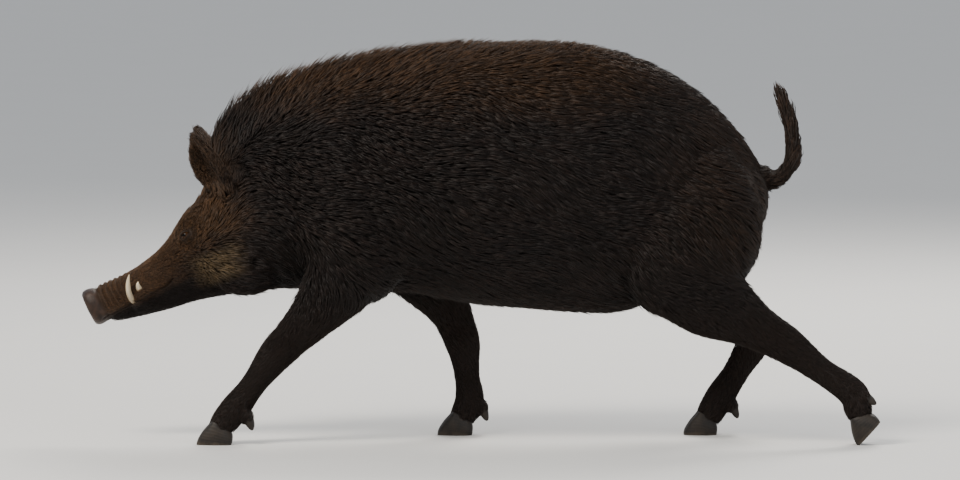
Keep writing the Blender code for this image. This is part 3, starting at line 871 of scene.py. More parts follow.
def makeStudio():
    bm = bmesh.new()
    bmesh.ops.create_grid(bm, x_segments=1, y_segments=1, size=studio["floorSize"])
    mesh = bpy.data.meshes.new("floor")
    bm.to_mesh(mesh)
    bm.free()
    g = Graph("floorPaint")
    grain = g.noise(g.place(), 3.0, 4.0)
    paint = g.mix(grain, tuple(c * 0.97 for c in studio["floor"]), studio["floor"])
    addObject("floor", mesh, g.finish(Base_Color=paint, Roughness=0.85))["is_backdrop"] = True
    world = bpy.data.worlds.new("studio")
    bpy.context.scene.world = world
    world.use_nodes = True
    sky = world.node_tree.nodes["Background"]
    sky.inputs["Color"].default_value = (*studio["sky"], 1.0)
    sky.inputs["Strength"].default_value = studio["skyStrength"]
    for name, place, size, watts, colour in studio["lights"]:
        lamp = bpy.data.lights.new(name, "AREA")
        lamp.size, lamp.energy, lamp.color = size, watts, colour
        aimed(name, lamp, Vector(place), Vector(studio["lightAim"]))
    camera = bpy.data.cameras.new("camera")
    camera.lens, camera.sensor_width = studio["lens"], 36.0
    camera.clip_start, camera.clip_end = 0.1, 200.0
    lift = math.radians(studio["elevation"])
    aim = Vector(studio["aim"])
    place = aim + Vector((0, -math.cos(lift), math.sin(lift))) * studio["distance"]
    bpy.context.scene.camera = aimed("camera", camera, place, aim)


makeStudio()


coat = {  # colours of the markings, which the skin and the bristles share
    "black": (0.0070, 0.0040, 0.0029),
    "brown": (0.0300, 0.0134, 0.0042),
    "face": (0.0460, 0.0218, 0.0074),
    "grizzle": (0.0760, 0.0500, 0.0240),
    "snout": (0.0620, 0.0300, 0.0120),
    "dark": (0.0120, 0.0058, 0.0032),
}


def markings(g, place):
    # the coat's colour at each place, and the distance behind the nose
    x, _, z = g.axes(place)
    x = x - head["nose"].x
    rise = z - head["nose"].z
    reach = x * headBack.x + rise * headBack.z
    above = x * headUp.x + rise * headUp.z
    patch = g.noise(place, 9.0, 4.0)
    wave = (patch - 0.5) * 0.10
    crest = (z + wave).rise(0.66, 0.80) * (x + wave).rise(1.30, 1.02)
    face = (reach + wave).rise(0.42, 0.30) * (above + wave * 0.5).rise(-0.02, 0.05)
    cheek = (reach + wave * 0.4).rise(0.20, 0.25) * (reach + wave).rise(0.37, 0.30)
    cheek = cheek * (above + wave * 0.4).rise(-0.075, -0.045) * (above + wave * 0.4).rise(0.015, -0.015)
    muzzle = (reach + wave * 0.3).rise(0.26, 0.12) * (above + wave * 0.2).rise(-0.040, -0.020)
    legs = (z + wave * 0.6).rise(0.34, 0.20) * (x + wave).rise(0.16, 0.24)
    rump = (x + wave).rise(1.15, 1.35) * z.rise(0.30, 0.45)
    colour = g.mix(patch.rise(0.3, 0.75) * 0.5, coat["black"], tuple(c * 2.0 for c in coat["black"]))
    for mask, share, name in (
        (rump, 0.25, "brown"),
        (crest, 0.85, "brown"),
        (face, 0.75, "face"),
        (muzzle, 0.80, "snout"),
        (cheek, 0.85, "grizzle"),
        (legs, 0.80, "dark"),
    ):
        colour = g.mix(mask * share, colour, coat[name])
    return colour, reach


hide = {
    "under": (0.0065, 0.0045, 0.0036),  # skin between the hairs
    "underShare": 0.62,
    "discDark": (0.013, 0.0066, 0.0040),
    "discLight": (0.036, 0.0185, 0.0110),
    "relief": 0.0009,
}


def skinMaterial():
    g = Graph("skinHide")
    place = g.place()
    colour, reach = markings(g, place)
    bareDisc = reach.rise(0.014, 0.002)
    mottle = g.noise(place, 60.0, 4.0)
    colour = g.mix(hide["underShare"], colour, hide["under"])
    bare = g.mix(mottle.rise(0.3, 0.7), hide["discDark"], hide["discLight"])
    colour = g.mix(bareDisc, colour, bare)
    pores = g.cells(place, 900.0)
    grain = g.noise(g.stretched(place, (60, 900, 500)), 1.0, 3.0)
    height = (pores * 0.6 + mottle * 0.6) * bareDisc + grain * (1 - bareDisc)
    rough = 0.72 - bareDisc * (0.34 + (mottle - 0.5) * 0.3)
    return g.finish(Base_Color=colour, Roughness=rough, Normal=g.bump(height, hide["relief"], 0.6),
                    Specular_IOR_Level=0.24)


skinShape.materials.append(skinMaterial())


fur = {
    "seed": 11,
    "amount": 1.46,  # all densities are multiplied by it
    "locks": 20,  # tufts to a lock
    "strays": 0.05,
    "envelopeVoxel": 0.008,
    "depth": (0.0015, 0.05),  # least and most room under the solids' surface
    "sunk": 0.0015,  # how deep the tufts are rooted
    "width": 0.076,  # share of a tuft's length
    "thinnest": 0.0012,
    "thickest": 0.0038,
    "taper": 0.28,  # from one ring of a tuft to the next
    "ridge": 0.9,  # height of a tuft against half its width
    "scatter": 0.03,  # share of its length by which a tip is off its place
    "patch": 0.003,  # a tuft's share of the unrolled skin
    "density": {  # tufts to a square metre
        "body": 49000,
        "head": 92000,
        "legs": 60000,
        "lowLegs": 66000,  # more than on the upper legs
        "snout": 160000,
        "eyes": 280000,
        "ears": 160000,
        "tail": 150000,
        "crest": 112000,
    },
    "length": {
        "body": 0.047,
        "bodyWave": 0.006,
        "shoulders": 0.040,
        "head": 0.024,
        "jowls": 0.020,  # added to that of the head
        "snout": 0.011,
        "lips": 0.006,
        "legs": 0.015,
        "upperLegs": 0.021,  # added higher up
        "pasterns": 0.022,
        "tail": 0.020,
        "tailEnd": 0.055,  # added towards the tip
        "ears": 0.013,
        "earTips": 0.010,  # added towards the tip
    },
}
cadFlesh = [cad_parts[name].data for name in fleshNodes]
envelope = applied("envelope", joined("envelope", cadFlesh),
                   ("REMESH", {"mode": "VOXEL", "voxel_size": fur["envelopeVoxel"]}))


def tree(mesh):
    return BVHTree.FromPolygons(points(mesh).tolist(), triangles(mesh).tolist())


def earLine(side):
    root, axis = earFrame(side)[:2]
    return np.array([tuple(root + axis * (share * ears["length"])) for share in (-0.05, 1.0)])


legLines = {name: np.array([tuple(point) for point in lineOf(rows, side)])
            for name, (side, rows) in legRows.items()}
tailLine = np.array([(x + shift, 0, z) for x, z, _ in inBetween(tailRows, 4)])
earLines = [earLine(side) for side in (-1, 1)]


def parts(placed):
    # how far each point belongs to the head, legs, tail and ears, and which way those run
    reach, side, above = inHead(placed)
    x = placed[:, 0] - shift
    out = {"reach": reach, "side": side, "above": above, "station": x}
    out["head"] = step(reach, 0.47, 0.35) * step(above, -0.170, -0.135)
    out["leg"] = np.zeros(len(placed))
    out["legWay"] = np.zeros((len(placed), 3))
    out["legTurn"] = np.zeros((len(placed), 2))
    for i, (name, line) in enumerate(legLines.items()):
        far, way, share, foot = nearLine(placed, line)
        high, low = (0.54, 0.34) if name.startswith("hind") else (0.46, 0.28)
        weight = step(far, 0.15, 0.08) * step(placed[:, 2], high, low)
        weight *= np.sign(line[0, 1]) * placed[:, 1] > 0
        better = weight > out["leg"]
        out["leg"][better] = weight[better]
        out["legWay"][better] = way[better]
        off = placed - foot
        turn = np.arctan2(off[:, 1], off[:, 0]) / (2 * math.pi) + 0.5
        out["legTurn"][better] = np.stack([(i + turn) / 4, share], 1)[better]
    far, way, share, _ = nearLine(placed, tailLine)
    out["tail"] = step(far, 0.034, 0.026) * step(x, 0.629, 0.641)
    out["tailWay"], out["tailShare"] = way, share
    out["ear"] = np.zeros(len(placed))
    out["earWay"] = np.zeros((len(placed), 3))
    out["earShare"] = np.zeros(len(placed))
    for line in earLines:
        far, way, share, _ = nearLine(placed, line)
        weight = step(far, 0.062, 0.048) * step(share, 0.04, 0.16) * (line[0, 1] * placed[:, 1] > 0)
        better = weight > out["ear"]
        out["ear"][better], out["earWay"][better] = weight[better], way[better]
        out["earShare"][better] = share[better]
    out["crest"] = (step(np.abs(side), 0.075, 0.040) * step(x, 0.42, 0.10) * step(reach, 0.32, 0.36)
                    * (placed[:, 2] > 0.5) * (1 - out["ear"]))
    return out


def lie(placed, facing, p):
    # the way the hair lies: back along the body and head, down the legs, out along ears and tail
    side, x = np.clip(placed[:, 1] / 0.06, -1, 1), p["station"]  # no parting along the spine
    count = len(placed)
    top = step(facing[:, 2], 0.25, 0.85)
    down = -0.34 * (1 - top) * step(x, -0.75, -0.30) - 0.16 * step(x, 0.30, 0.50)
    way = np.stack([np.ones(count), 0.20 * side * top, down], 1)
    cheek = step(p["above"], 0.05, -0.01) * step(p["reach"], 0.17, 0.27)
    brow = step(p["above"], 0.03, 0.08) * step(p["reach"], 0.20, 0.30)
    onHeadWay = (np.array(headBack) * (1 - 0.25 * cheek)[:, None]
                 + np.array(headUp) * (0.38 * brow - 0.62 * cheek)[:, None]
                 + np.array((0, 1, 0)) * (0.22 * side * (cheek + brow * 0.5))[:, None])
    way = way * (1 - p["head"])[:, None] + onHeadWay * p["head"][:, None]
    legWay = p["legWay"] + np.array((1, 0, 0)) * (0.12 + 0.55 * step(placed[:, 2], 0.24, 0.36))[:, None]
    way = way * (1 - p["leg"])[:, None] + legWay * p["leg"][:, None] * 1.2
    way = way * (1 - p["tail"])[:, None] + p["tailWay"] * p["tail"][:, None]
    way = way * (1 - p["ear"])[:, None] + p["earWay"] * p["ear"][:, None]
    # a slow swirl keeps the lie from looking ruled
    bend = 0.20 * (np.sin(x * 21 + placed[:, 2] * 13) + np.sin(placed[:, 2] * 31 - x * 9 + 2))
    way = way + np.cross(facing, way) * (bend * (1 - 0.7 * p["ear"]))[:, None]
    way = way - facing * np.sum(way * facing, 1)[:, None]
    return unit(way)


def density(placed, facing):
    thick = fur["density"]
    p = parts(placed)
    low = step(placed[:, 2], 0.34, 0.22)
    amount = thick["body"] + (thick["head"] - thick["body"]) * p["head"]
    amount = amount + (thick["legs"] + thick["lowLegs"] * low - amount) * p["leg"]
    amount = amount + (thick["snout"] - amount) * step(p["reach"], 0.26, 0.18) * p["head"]
    amount = amount + (thick["eyes"] - amount) * step(eyeDistance(placed), 0.060, 0.035)
    amount = np.maximum(amount, thick["ears"] * p["ear"])
    amount = np.maximum(amount, thick["tail"] * p["tail"])
    amount = np.maximum(amount, thick["crest"] * p["crest"] * (facing[:, 2] > 0.3))
    # bare places: the disc, the lids' edges, between the lips and the soles
    amount *= step(p["reach"], 0.008, 0.024)
    lips = np.abs(p["above"] - mouthLine(p["reach"]))
    amount *= np.where(p["reach"] > 0.18, 1.0, step(lips, 0.002, 0.005))
    for side in (-1, 1):
        centre, _, forward, up = (np.array(v) for v in eyeFrame(side))
        rel = placed - centre
        amount *= step(np.hypot((rel @ forward) / 1.35, rel @ up), 0.0085, 0.0125)
    amount *= step(placed[:, 2], 0.036, 0.042)
    return np.clip(amount, 0, None) * fur["amount"]


def sampleRoots(mesh, rng):
    # random places on the skin, as many to each triangle as the density asks for
    corners = triangles(mesh)
    placed, facing = points(mesh), normals(mesh)
    a, b, c = (placed[corners[:, k]] for k in range(3))
    area = 0.5 * np.linalg.norm(np.cross(b - a, c - a), axis=1)
    middle = (a + b + c) / 3
    total = np.cumsum(area * density(middle, unit(facing[corners].sum(1))))
    count = int(total[-1])
    pick = np.clip(np.searchsorted(total, np.arange(count) + rng.random(count)), 0, len(area) - 1)
    s, t = np.sqrt(rng.random(count)), rng.random(count)
    share = np.stack([1 - s, s * (1 - t), s * t], 1)
    chosen = corners[pick]
    root = np.einsum("nk,nkd->nd", share, placed[chosen])
    return root, unit(np.einsum("nk,nkd->nd", share, facing[chosen]))


def nearest(search, placed):
    # the nearest places on a surface, the ways it faces there, and how far off they are
    spots, ways, _, far = zip(*(search.find_nearest(point) for point in placed.tolist()))
    return np.array([tuple(spot) for spot in spots]), np.array([tuple(way) for way in ways]), np.array(far)


def lengths(root, p, rng):
    long = fur["length"]
    size = long["body"] + long["bodyWave"] * np.sin(p["station"] * 7)
    size = size + (long["shoulders"] - size) * step(p["reach"], 0.50, 0.40)
    size = size + (long["head"] - size) * step(p["reach"], 0.33, 0.25)
    jowl = step(p["above"], 0.02, -0.05) * step(p["reach"], 0.24, 0.30)
    size = size + long["jowls"] * jowl * p["head"]
    size = size + (long["snout"] - size) * step(p["reach"], 0.24, 0.14)
    size = size + (long["lips"] - size) * step(p["reach"], 0.12, 0.02)
    size = size + (long["legs"] + long["upperLegs"] * step(root[:, 2], 0.16, 0.40) - size) * p["leg"]
    size = size + (long["pasterns"] - size) * p["leg"] * step(p["legTurn"][:, 1], 0.90, 0.95)
    size = size + (long["tail"] + long["tailEnd"] * step(p["tailShare"], 0.55, 0.95) - size) * p["tail"]
    size = size + (long["ears"] + long["earTips"] * step(p["earShare"], 0.75, 1.0) - size) * p["ear"]
    size = size * (0.34 + 0.66 * step(eyeDistance(root), 0.014, 0.050))
    return size * (0.72 + 0.5 * rng.random(len(root)))


def unwrap(kind, root, p):
    # where each root is on an unrolled skin
    if kind == "legs":
        flat = p["legTurn"]
    elif kind == "tail":
        flat = np.stack([np.arctan2(root[:, 1], p["station"] - 0.697) / 7, p["tailShare"]], 1)
    elif kind == "ears":
        turn = np.arctan2(p["station"] + 0.483, np.abs(root[:, 1]) - 0.12)
        across = np.where(root[:, 1] > 0, 1, -1) * (1.2 + turn / 4)
        flat = np.stack([across, p["earShare"]], 1)
    elif kind == "head":
        flat = np.stack([np.arctan2(p["side"], p["above"] + 0.01), p["reach"]], 1)
    else:
        turn = np.arctan2(np.abs(root[:, 1]), root[:, 2] - 0.55) * np.sign(root[:, 1])
        flat = np.stack([turn, root[:, 0]], 1)
    low, high = flat.min(0), flat.max(0)
    return 0.01 + 0.975 * (flat - low) / np.maximum(high - low, 1e-6)


def tuftMesh(name, line, facing, width, at, shade, tone):
    # each tuft is a closed three-sided blade, pointed at its root in the skin and at its tip
    count, knots = line.shape[:2]
    rings = knots - 2
    way = unit(line[:, 2:] - line[:, :-2])
    across = unit(np.cross(way, facing[:, None, :]))
    ridge = unit(np.cross(across, way))
    half = width[:, None, None] * np.linspace(1.0, 1.0 - fur["taper"] * (rings - 1), rings)[None, :, None] / 2
    body = line[:, 1:-1]
    corners = 3 * rings + 2
    placed = np.empty((count, corners, 3))
    top = ridge * half * fur["ridge"]
    for k, edge in enumerate((body + across * half, body - across * half, body + top)):
        placed[:, k:3 * rings:3] = edge
    placed[:, -2], placed[:, -1] = line[:, 0], line[:, -1]
    faces = []
    for k in range(3):
        a, b = k, (k + 1) % 3
        faces.append((b, a, 3 * rings))
        for r in range(0, 3 * rings - 3, 3):
            faces += [(b + r, a + r + 3, a + r), (b + r + 3, a + r + 3, b + r)]
        faces.append((3 * rings - 3 + b, 3 * rings + 1, 3 * rings - 3 + a))
    faces = np.array(faces)
    index = (faces[None] + (np.arange(count) * corners)[:, None, None]).reshape(-1)
    mesh = bpy.data.meshes.new(name)
    mesh.vertices.add(count * corners)
    mesh.vertices.foreach_set("co", placed.astype(np.float32).ravel())
    mesh.loops.add(len(index))
    mesh.loops.foreach_set("vertex_index", index.astype(np.int32))
    mesh.polygons.add(len(index) // 3)
    mesh.polygons.foreach_set("loop_start", np.arange(0, len(index), 3, dtype=np.int32))
    mesh.update(calc_edges=True)
    mesh.shade_smooth()
    share = np.concatenate([np.repeat(np.linspace(0, 1, knots)[1:-1], 3), [0.0, 1.0]])
    u = np.concatenate([np.tile((0.0, 1.0, 0.5), rings), [0.5, 0.5]])
    patch = fur["patch"]
    uv = np.stack([at[:, 0, None] + patch * (u - 0.5), at[:, 1, None] + patch * (share - 0.5)], 2)
    uv = uv.reshape(-1, 2)[index]
    mesh.uv_layers.new(name="OFBake").data.foreach_set("uv", uv.astype(np.float32).ravel())
    marked(mesh, "along", np.tile(share, count).astype(np.float32))
    marked(mesh, "shade", np.repeat(shade, corners).astype(np.float32))
    marked(mesh, "tone", np.repeat(tone, corners).astype(np.float32))
    return mesh


bristles = {
    "roots": (0.42, 0.42, 0.42),  # the markings' colours are multiplied by these
    "tips": (  # material slot, name, and the palest tips
        ("coat", "bristles", (2.3, 2.2, 2.1)),
        ("leg_coat", "legBristles", (1.5, 1.45, 1.4)),
        ("ear_coat", "earBristles", (1.7, 1.6, 1.5)),
    ),
    "matt": 0.54,  # roughness at the least
}


def bristleMaterial(name, tips):
    g = Graph(name)
    colour = markings(g, g.place())[0]
    share, shade, tone = g.attribute("along"), g.attribute("shade"), g.attribute("tone")
    root = g.mix(1.0, colour, bristles["roots"], "MULTIPLY")
    pale = g.mix(1.0, colour, tips, "MULTIPLY")
    colour = g.mix(share.rise(0.05, 0.70), root, colour)
    colour = g.mix(share.rise(0.45, 1.0) * shade.rise(0.35, 0.95), colour, pale)
    lift = 0.62 + shade * 0.45 + tone * 0.45
    grey = g.node("ShaderNodeCombineXYZ", None, [lift, lift, lift])
    colour = g.mix(1.0, colour, grey, "MULTIPLY")
    rough = bristles["matt"] + shade * 0.18
    return g.finish(Base_Color=colour, Roughness=rough, Specular_IOR_Level=0.27)


regions = {  # piece: (kind of unwrap, knots along a tuft, material slot)
    "coatFace": ("head", 3, "coat"),
    "coatCheeks": ("head", 3, "coat"),
    "coatEars": ("ears", 3, "ear_coat"),
    "coatCrest": ("body", 4, "coat"),
    "coatShoulderLeft": ("body", 3, "coat"),
    "coatShoulderRight": ("body", 3, "coat"),
    "coatFlankLeft": ("body", 3, "coat"),
    "coatFlankRight": ("body", 3, "coat"),
    "coatRumpLeft": ("body", 3, "coat"),
    "coatRumpRight": ("body", 3, "coat"),
    "coatForelegs": ("legs", 3, "leg_coat"),
    "coatHindlegLeft": ("legs", 3, "leg_coat"),
    "coatHindlegRight": ("legs", 3, "leg_coat"),
    "coatTail": ("tail", 4, "coat"),
}
bands = (("Shoulder", -9, -0.10), ("Flank", -0.10, 0.26), ("Rump", 0.26, 9))  # from and to along the body


def regionOf(root, p):
    # the piece that each tuft belongs to
    names = np.full(len(root), "", dtype=object)
    left = root[:, 1] < 0
    x = p["station"]
    for label, low, high in bands:
        for mask, sideName in ((left, "Left"), (~left, "Right")):
            names[(x >= low) & (x < high) & mask] = f"coat{label}{sideName}"
    leg, hind = p["leg"] > 0.75, x >= 0.25
    names[leg & ~hind] = "coatForelegs"
    names[leg & hind & left] = "coatHindlegLeft"
    names[leg & hind & ~left] = "coatHindlegRight"
    names[p["head"] > 0.5] = "coatCheeks"
    names[(p["reach"] < 0.235) & (p["head"] > 0.5)] = "coatFace"
    names[p["crest"] > 0.45] = "coatCrest"
    names[p["ear"] > 0.4] = "coatEars"
    names[p["tail"] > 0.5] = "coatTail"
    return names


def riseOf(root, facing, size, p, outer, rng):
    # how high above the skin each tip ends: within the coat's depth and never too steep
    count = len(root)
    depth = np.clip(nearest(outer, root)[2], *fur["depth"])
    stray = rng.random(count) < fur["strays"]
    rise = depth * (0.22 + 0.78 * rng.random(count) ** 0.8) * np.where(stray, 1.2, 1.0)
    rise = np.minimum(rise, size * np.where(stray, 0.60, 0.46) * (1 - 0.45 * p["leg"]))
    rise = np.maximum(rise, size * 0.11)
    # a loose fringe along the rims of the ears
    across = np.array([tuple(earFrame(side)[3]) for side in (-1, 1)])[(root[:, 1] > 0).astype(int)]
    rim = p["ear"] * step(np.abs(np.sum(facing * across, 1)), 0.45, 0.85)
    return rise + size * rim * (0.10 + 0.42 * rng.random(count))


mane = {
    "least": 0.03,
    "most": 0.16,
    "sweep": 0.14,  # how far the tips bend back, against the length
    "nape": -0.56,  # upright there, and laid back from the shoulders on
    "shoulders": -0.10,
}


def raiseCrest(root, middle, tip, size, p, outer, rng):
    # the crest's bristles stand up and lean back, as long as the crest is high
    ridge = np.nonzero(p["crest"] > 0.02)[0]
    start, count = root[ridge], len(ridge)
    back = step(p["station"][ridge], mane["nape"], mane["shoulders"])
    lean = unit(np.stack([
        -0.20 + 0.82 * back + 0.25 * rng.random(count),
        0.22 * (rng.random(count) - 0.5) + 1.1 * start[:, 1],
        np.ones(count),
    ], 1))
    room = [outer.ray_cast(Vector(a), Vector(b))[3] for a, b in zip(start.tolist(), lean.tolist())]
    high = np.clip([far or 0.0 for far in room], mane["least"], mane["most"])
    high = (high * (0.66 + 0.56 * rng.random(count) ** 1.4))[:, None]
    share = step(p["crest"][ridge], 0.02, 0.75)[:, None]
    middle[ridge] = middle[ridge] * (1 - share) + (start + lean * (high * 0.5) - (0.004, 0, 0)) * share
    swept = start + lean * high + np.array((1.0, 0, -0.5)) * (high * mane["sweep"])
    tip[ridge] = tip[ridge] * (1 - share) + swept * share
    size[ridge] = np.linalg.norm(tip[ridge] - start, axis=1)


def spreadBrush(root, facing, middle, tip, size, p, rng):
    # the brush at the end of the tail
    brush = np.nonzero((p["tail"] > 0.5) & (p["tailShare"] > 0.42))[0]
    reach = 0.030 + 0.016 * step(p["tailShare"][brush], 0.4, 0.9)
    reach = (reach * (0.7 + 0.6 * rng.random(len(brush))))[:, None]
    way = unit(p["tailWay"][brush] + facing[brush] * 0.30 + rng.normal(0, 0.07, (len(brush), 3)))
    middle[brush] = root[brush] + way * (reach * 0.5)
    tip[brush] = middle[brush] + unit(way + (-0.10, 0, 0.25) - facing[brush] * 0.35) * (reach * 0.55)
    size[brush] = reach[:, 0]


def gather(root, tip, p, rng):
    # neighbouring tufts lean together into pointed locks
    count = len(root)
    centres = rng.choice(count, count // fur["locks"], replace=False)
    search = KDTree(len(centres))
    for i, c in enumerate(centres):
        search.insert(root[c], i)
    search.balance()
    own = centres[np.array([search.find(point)[1] for point in root.tolist()])]
    tone = 0.5 + (rng.random(count)[own] - 0.5) * (1 - 0.6 * p["leg"])
    short = p["head"] * step(p["reach"], 0.26, 0.13)
    pull = 0.30 + 0.35 * rng.random(count)
    pull = pull * (1 - 0.6 * p["ear"]) * (1 - 0.5 * p["leg"]) * (1 - 0.8 * short)
    far = np.linalg.norm(tip[own] - tip, axis=1)
    return own, pull * step(far, 0.030, 0.010), tone


def growCoat():
    rng = np.random.default_rng(fur["seed"])
    skinTree, outer = tree(skinShape), tree(envelope)
    root, facing = sampleRoots(skinShape, rng)
    say(f"coat: {len(root)} roots")
    count = len(root)
    p = parts(root)
    way = lie(root, facing, p)
    size = lengths(root, p, rng)
    rise = riseOf(root, facing, size, p, outer, rng)
    # first half of each tuft, laid on the skin, then the second half from there
    middle, middleFacing, _ = nearest(skinTree, root + way * (size * 0.5)[:, None])
    middleWay = lie(middle, middleFacing, parts(middle))
    tip, tipFacing, _ = nearest(skinTree, middle + middleWay * (size * 0.5)[:, None])
    middle = middle + middleFacing * (rise * 0.62)[:, None]
    tip = tip + tipFacing * rise[:, None]
    raiseCrest(root, middle, tip, size, p, outer, rng)
    spreadBrush(root, facing, middle, tip, size, p, rng)
    say("coat: combed")
    own, pull, tone = gather(root, tip, p, rng)
    tip = tip + (tip[own] - tip) * pull[:, None]
    middle = middle + (middle[own] - middle) * (pull * 0.35)[:, None]
    tip = tip + rng.normal(0, 1, (count, 3)) * (size * fur["scatter"])[:, None]
    base = root - facing * fur["sunk"]
    width = np.clip(size * fur["width"], fur["thinnest"], fur["thickest"]) * (0.75 + 0.5 * rng.random(count))
    shade = rng.random(count)
    names = regionOf(root, p)
    materials = {slot: bristleMaterial(name, tips) for slot, name, tips in bristles["tips"]}
    total = 0
    for name, (kind, knots, slot) in regions.items():
        own = np.nonzero(names == name)[0]
        a, b, c = base[own], middle[own], tip[own]
        if knots == 3:
            line = np.stack([a, b, c], 1)
        else:
            # two knots between, on the curve through the three
            quarter = a * 0.375 + b * 0.75 - c * 0.125
            three = -a * 0.125 + b * 0.75 + c * 0.375
            line = np.stack([a, quarter * 0.6 + b * 0.4, three, c], 1)
        at = unwrap(kind, root[own], {key: value[own] for key, value in p.items()})
        mesh = tuftMesh(name, line, facing[own], width[own], at, shade[own], tone[own])
        piece = addObject(name, mesh, materials[slot])
        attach(piece, "root")
        total += len(mesh.polygons)
        say(f"{name}: {len(own)} tufts, {len(mesh.polygons)} triangles")
    say(f"coat: {total} triangles")


growCoat()
bpy.data.meshes.remove(envelope)


whiskers = {
    "tries": 420,  # long hairs on the lips, chin and sides of the snout
    "reach": (0.03, 0.20),
    "spread": 0.030,  # above and below the mouth
    "long": (0.018, 0.038),
    "lashes": 64,  # round each eye, the first of them on the upper lid
    "upperLashes": 48,
    "upperLong": (0.009, 0.016),
    "lowerLong": (0.004, 0.007),
    "thick": 0.00075,
}


def whiskerRoots(search, rng):
    # place, way and length of each
    for _ in range(whiskers["tries"]):
        reach, side = rng.uniform(*whiskers["reach"]), rng.choice((-1, 1))
        above = mouthLine(reach) + rng.uniform(-whiskers["spread"], whiskers["spread"])
        found = search.ray_cast(onHead(reach, side * 0.12, above), Vector((0, -side, 0)))[0]
        if found is None or found.y * side < 0.004:
            continue
        outward = Vector((0, side * rng.uniform(0.35, 0.8), 0))
        way = headBack * 0.55 + outward - headUp * rng.uniform(0.0, 0.5)
        yield found, way, rng.uniform(*whiskers["long"])


def lashRoots(search, rng):
    for side in (-1, 1):
        centre, out, forward, up = eyeFrame(side)
        for i in range(whiskers["lashes"]):
            upper = i < whiskers["upperLashes"]
            high, edge = (0.0068, 0.0012) if upper else (-0.0052, -0.0012)
            u = rng.uniform(-0.0125, 0.0115)
            v = high * (1 - (u / 0.0132) ** 2) + lids["tilt"] * u
            found = search.ray_cast(centre + forward * u + up * (v + edge) + out * 0.05, -out)[0]
            if found is None:
                continue
            lift = rng.uniform(0.15, 0.5) if upper else -0.5
            way = out * 0.9 + up * lift - forward * rng.uniform(0.2, 0.7)
            yield found, way, rng.uniform(*whiskers["upperLong" if upper else "lowerLong"])


def growWhiskers():
    rng = np.random.default_rng(fur["seed"] + 1)
    search = tree(skinShape)
    found = [*whiskerRoots(search, rng), *lashRoots(search, rng)]
    root = np.array([tuple(place) for place, _, _ in found])
    way = unit(np.array([tuple(way) for _, way, _ in found]))
    size = np.array([size for _, _, size in found])[:, None]
    middle = root + way * size * 0.5
    tip = root + way * size * 0.92 + np.array((0, 0, -1)) * size * 0.16
    line = np.stack([root - way * 0.001, (root + middle) / 2 + (middle - root) * 0.1, middle, tip], 1)
    facing = np.tile((0.0, 0.0, 1.0), (len(root), 1))
    width = np.full(len(root), whiskers["thick"])
    shade = rng.random(len(root))
    mesh = tuftMesh("whiskers", line, facing, width, unwrap("head", root, parts(root)), shade, shade * 0)
    piece = addObject("whiskers", mesh, bpy.data.materials["legBristles"])
    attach(piece, "root")


growWhiskers()
say("whiskers and lashes")


eyes = {
    "iris": 0.0103,  # radius
    "pupil": (0.0050, 0.0034),
    "black": (0.0015, 0.0012, 0.0012),
    "irisDark": (0.010, 0.0042, 0.0018),
    "irisLight": (0.070, 0.028, 0.009),
    "white": (0.060, 0.036, 0.028),
    "bulge": 0.0009,  # of the cornea
    "bulgeRadius": 0.0062,
}


def eyeMaterial():
    g = Graph("eyeball")
    u, v = g.attribute("gazeAcross"), g.attribute("gazeUp")
    off = (u * u + v * v).root()
    fibres = g.noise(g.stretched(g.place(), (700, 700, 700)), 1.0, 3.0)
    wide, high = u * (1 / eyes["pupil"][0]), v * (1 / eyes["pupil"][1])
    slot = (wide * wide + high * high).root()
    iris = g.mix(fibres.rise(0.35, 0.7), eyes["irisDark"], eyes["irisLight"])
    iris = g.mix(off.rise(eyes["iris"] * 0.70, eyes["iris"]), iris, eyes["irisDark"])
    colour = g.mix(slot.rise(1.08, 0.92), iris, eyes["black"])
    colour = g.mix(off.rise(eyes["iris"] * 0.98, eyes["iris"] * 1.12), colour, eyes["white"])
    return g.finish(Base_Color=colour, Roughness=0.06, Specular_IOR_Level=0.10)


def eyeMesh(side):
    centre, out, forward, up = eyeFrame(side)
    bm = bmesh.new()
    bmesh.ops.create_uvsphere(bm, u_segments=56, v_segments=40, radius=head["eyeRadius"])
    frameTurn = Matrix((forward, up, out)).transposed()
    place = []
    for vert in bm.verts:
        x, y, z = vert.co
        off = math.hypot(x, y)
        place.append((x, y))
        if z > 0:
            vert.co.z = z + eyes["bulge"] * math.exp(-(off / eyes["bulgeRadius"]) ** 4)
        vert.co = centre + frameTurn @ vert.co
    if frameTurn.determinant() < 0:
        bmesh.ops.reverse_faces(bm, faces=bm.faces)
    mesh = bpy.data.meshes.new("eye")
    bm.to_mesh(mesh)
    bm.free()
    marked(mesh, "gazeAcross", [across for across, _ in place])
    marked(mesh, "gazeUp", [high for _, high in place])
    mesh.shade_smooth()
    return mesh


eyeFinish = eyeMaterial()
for side, word in ((-1, "Left"), (1, "Right")):
    piece = addObject("eye" + word, eyeMesh(side), eyeFinish)
    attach(piece, "root")
    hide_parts("eye_" + word.lower())
say("eyes")


ivory = {
    "dark": (0.44, 0.35, 0.22),
    "light": (0.60, 0.52, 0.38),
    "stain": (0.17, 0.105, 0.050),  # towards the root
    "worn": (0.30, 0.22, 0.13),  # at the tip
    "corners": 20,
    "relief": 0.0004,
}


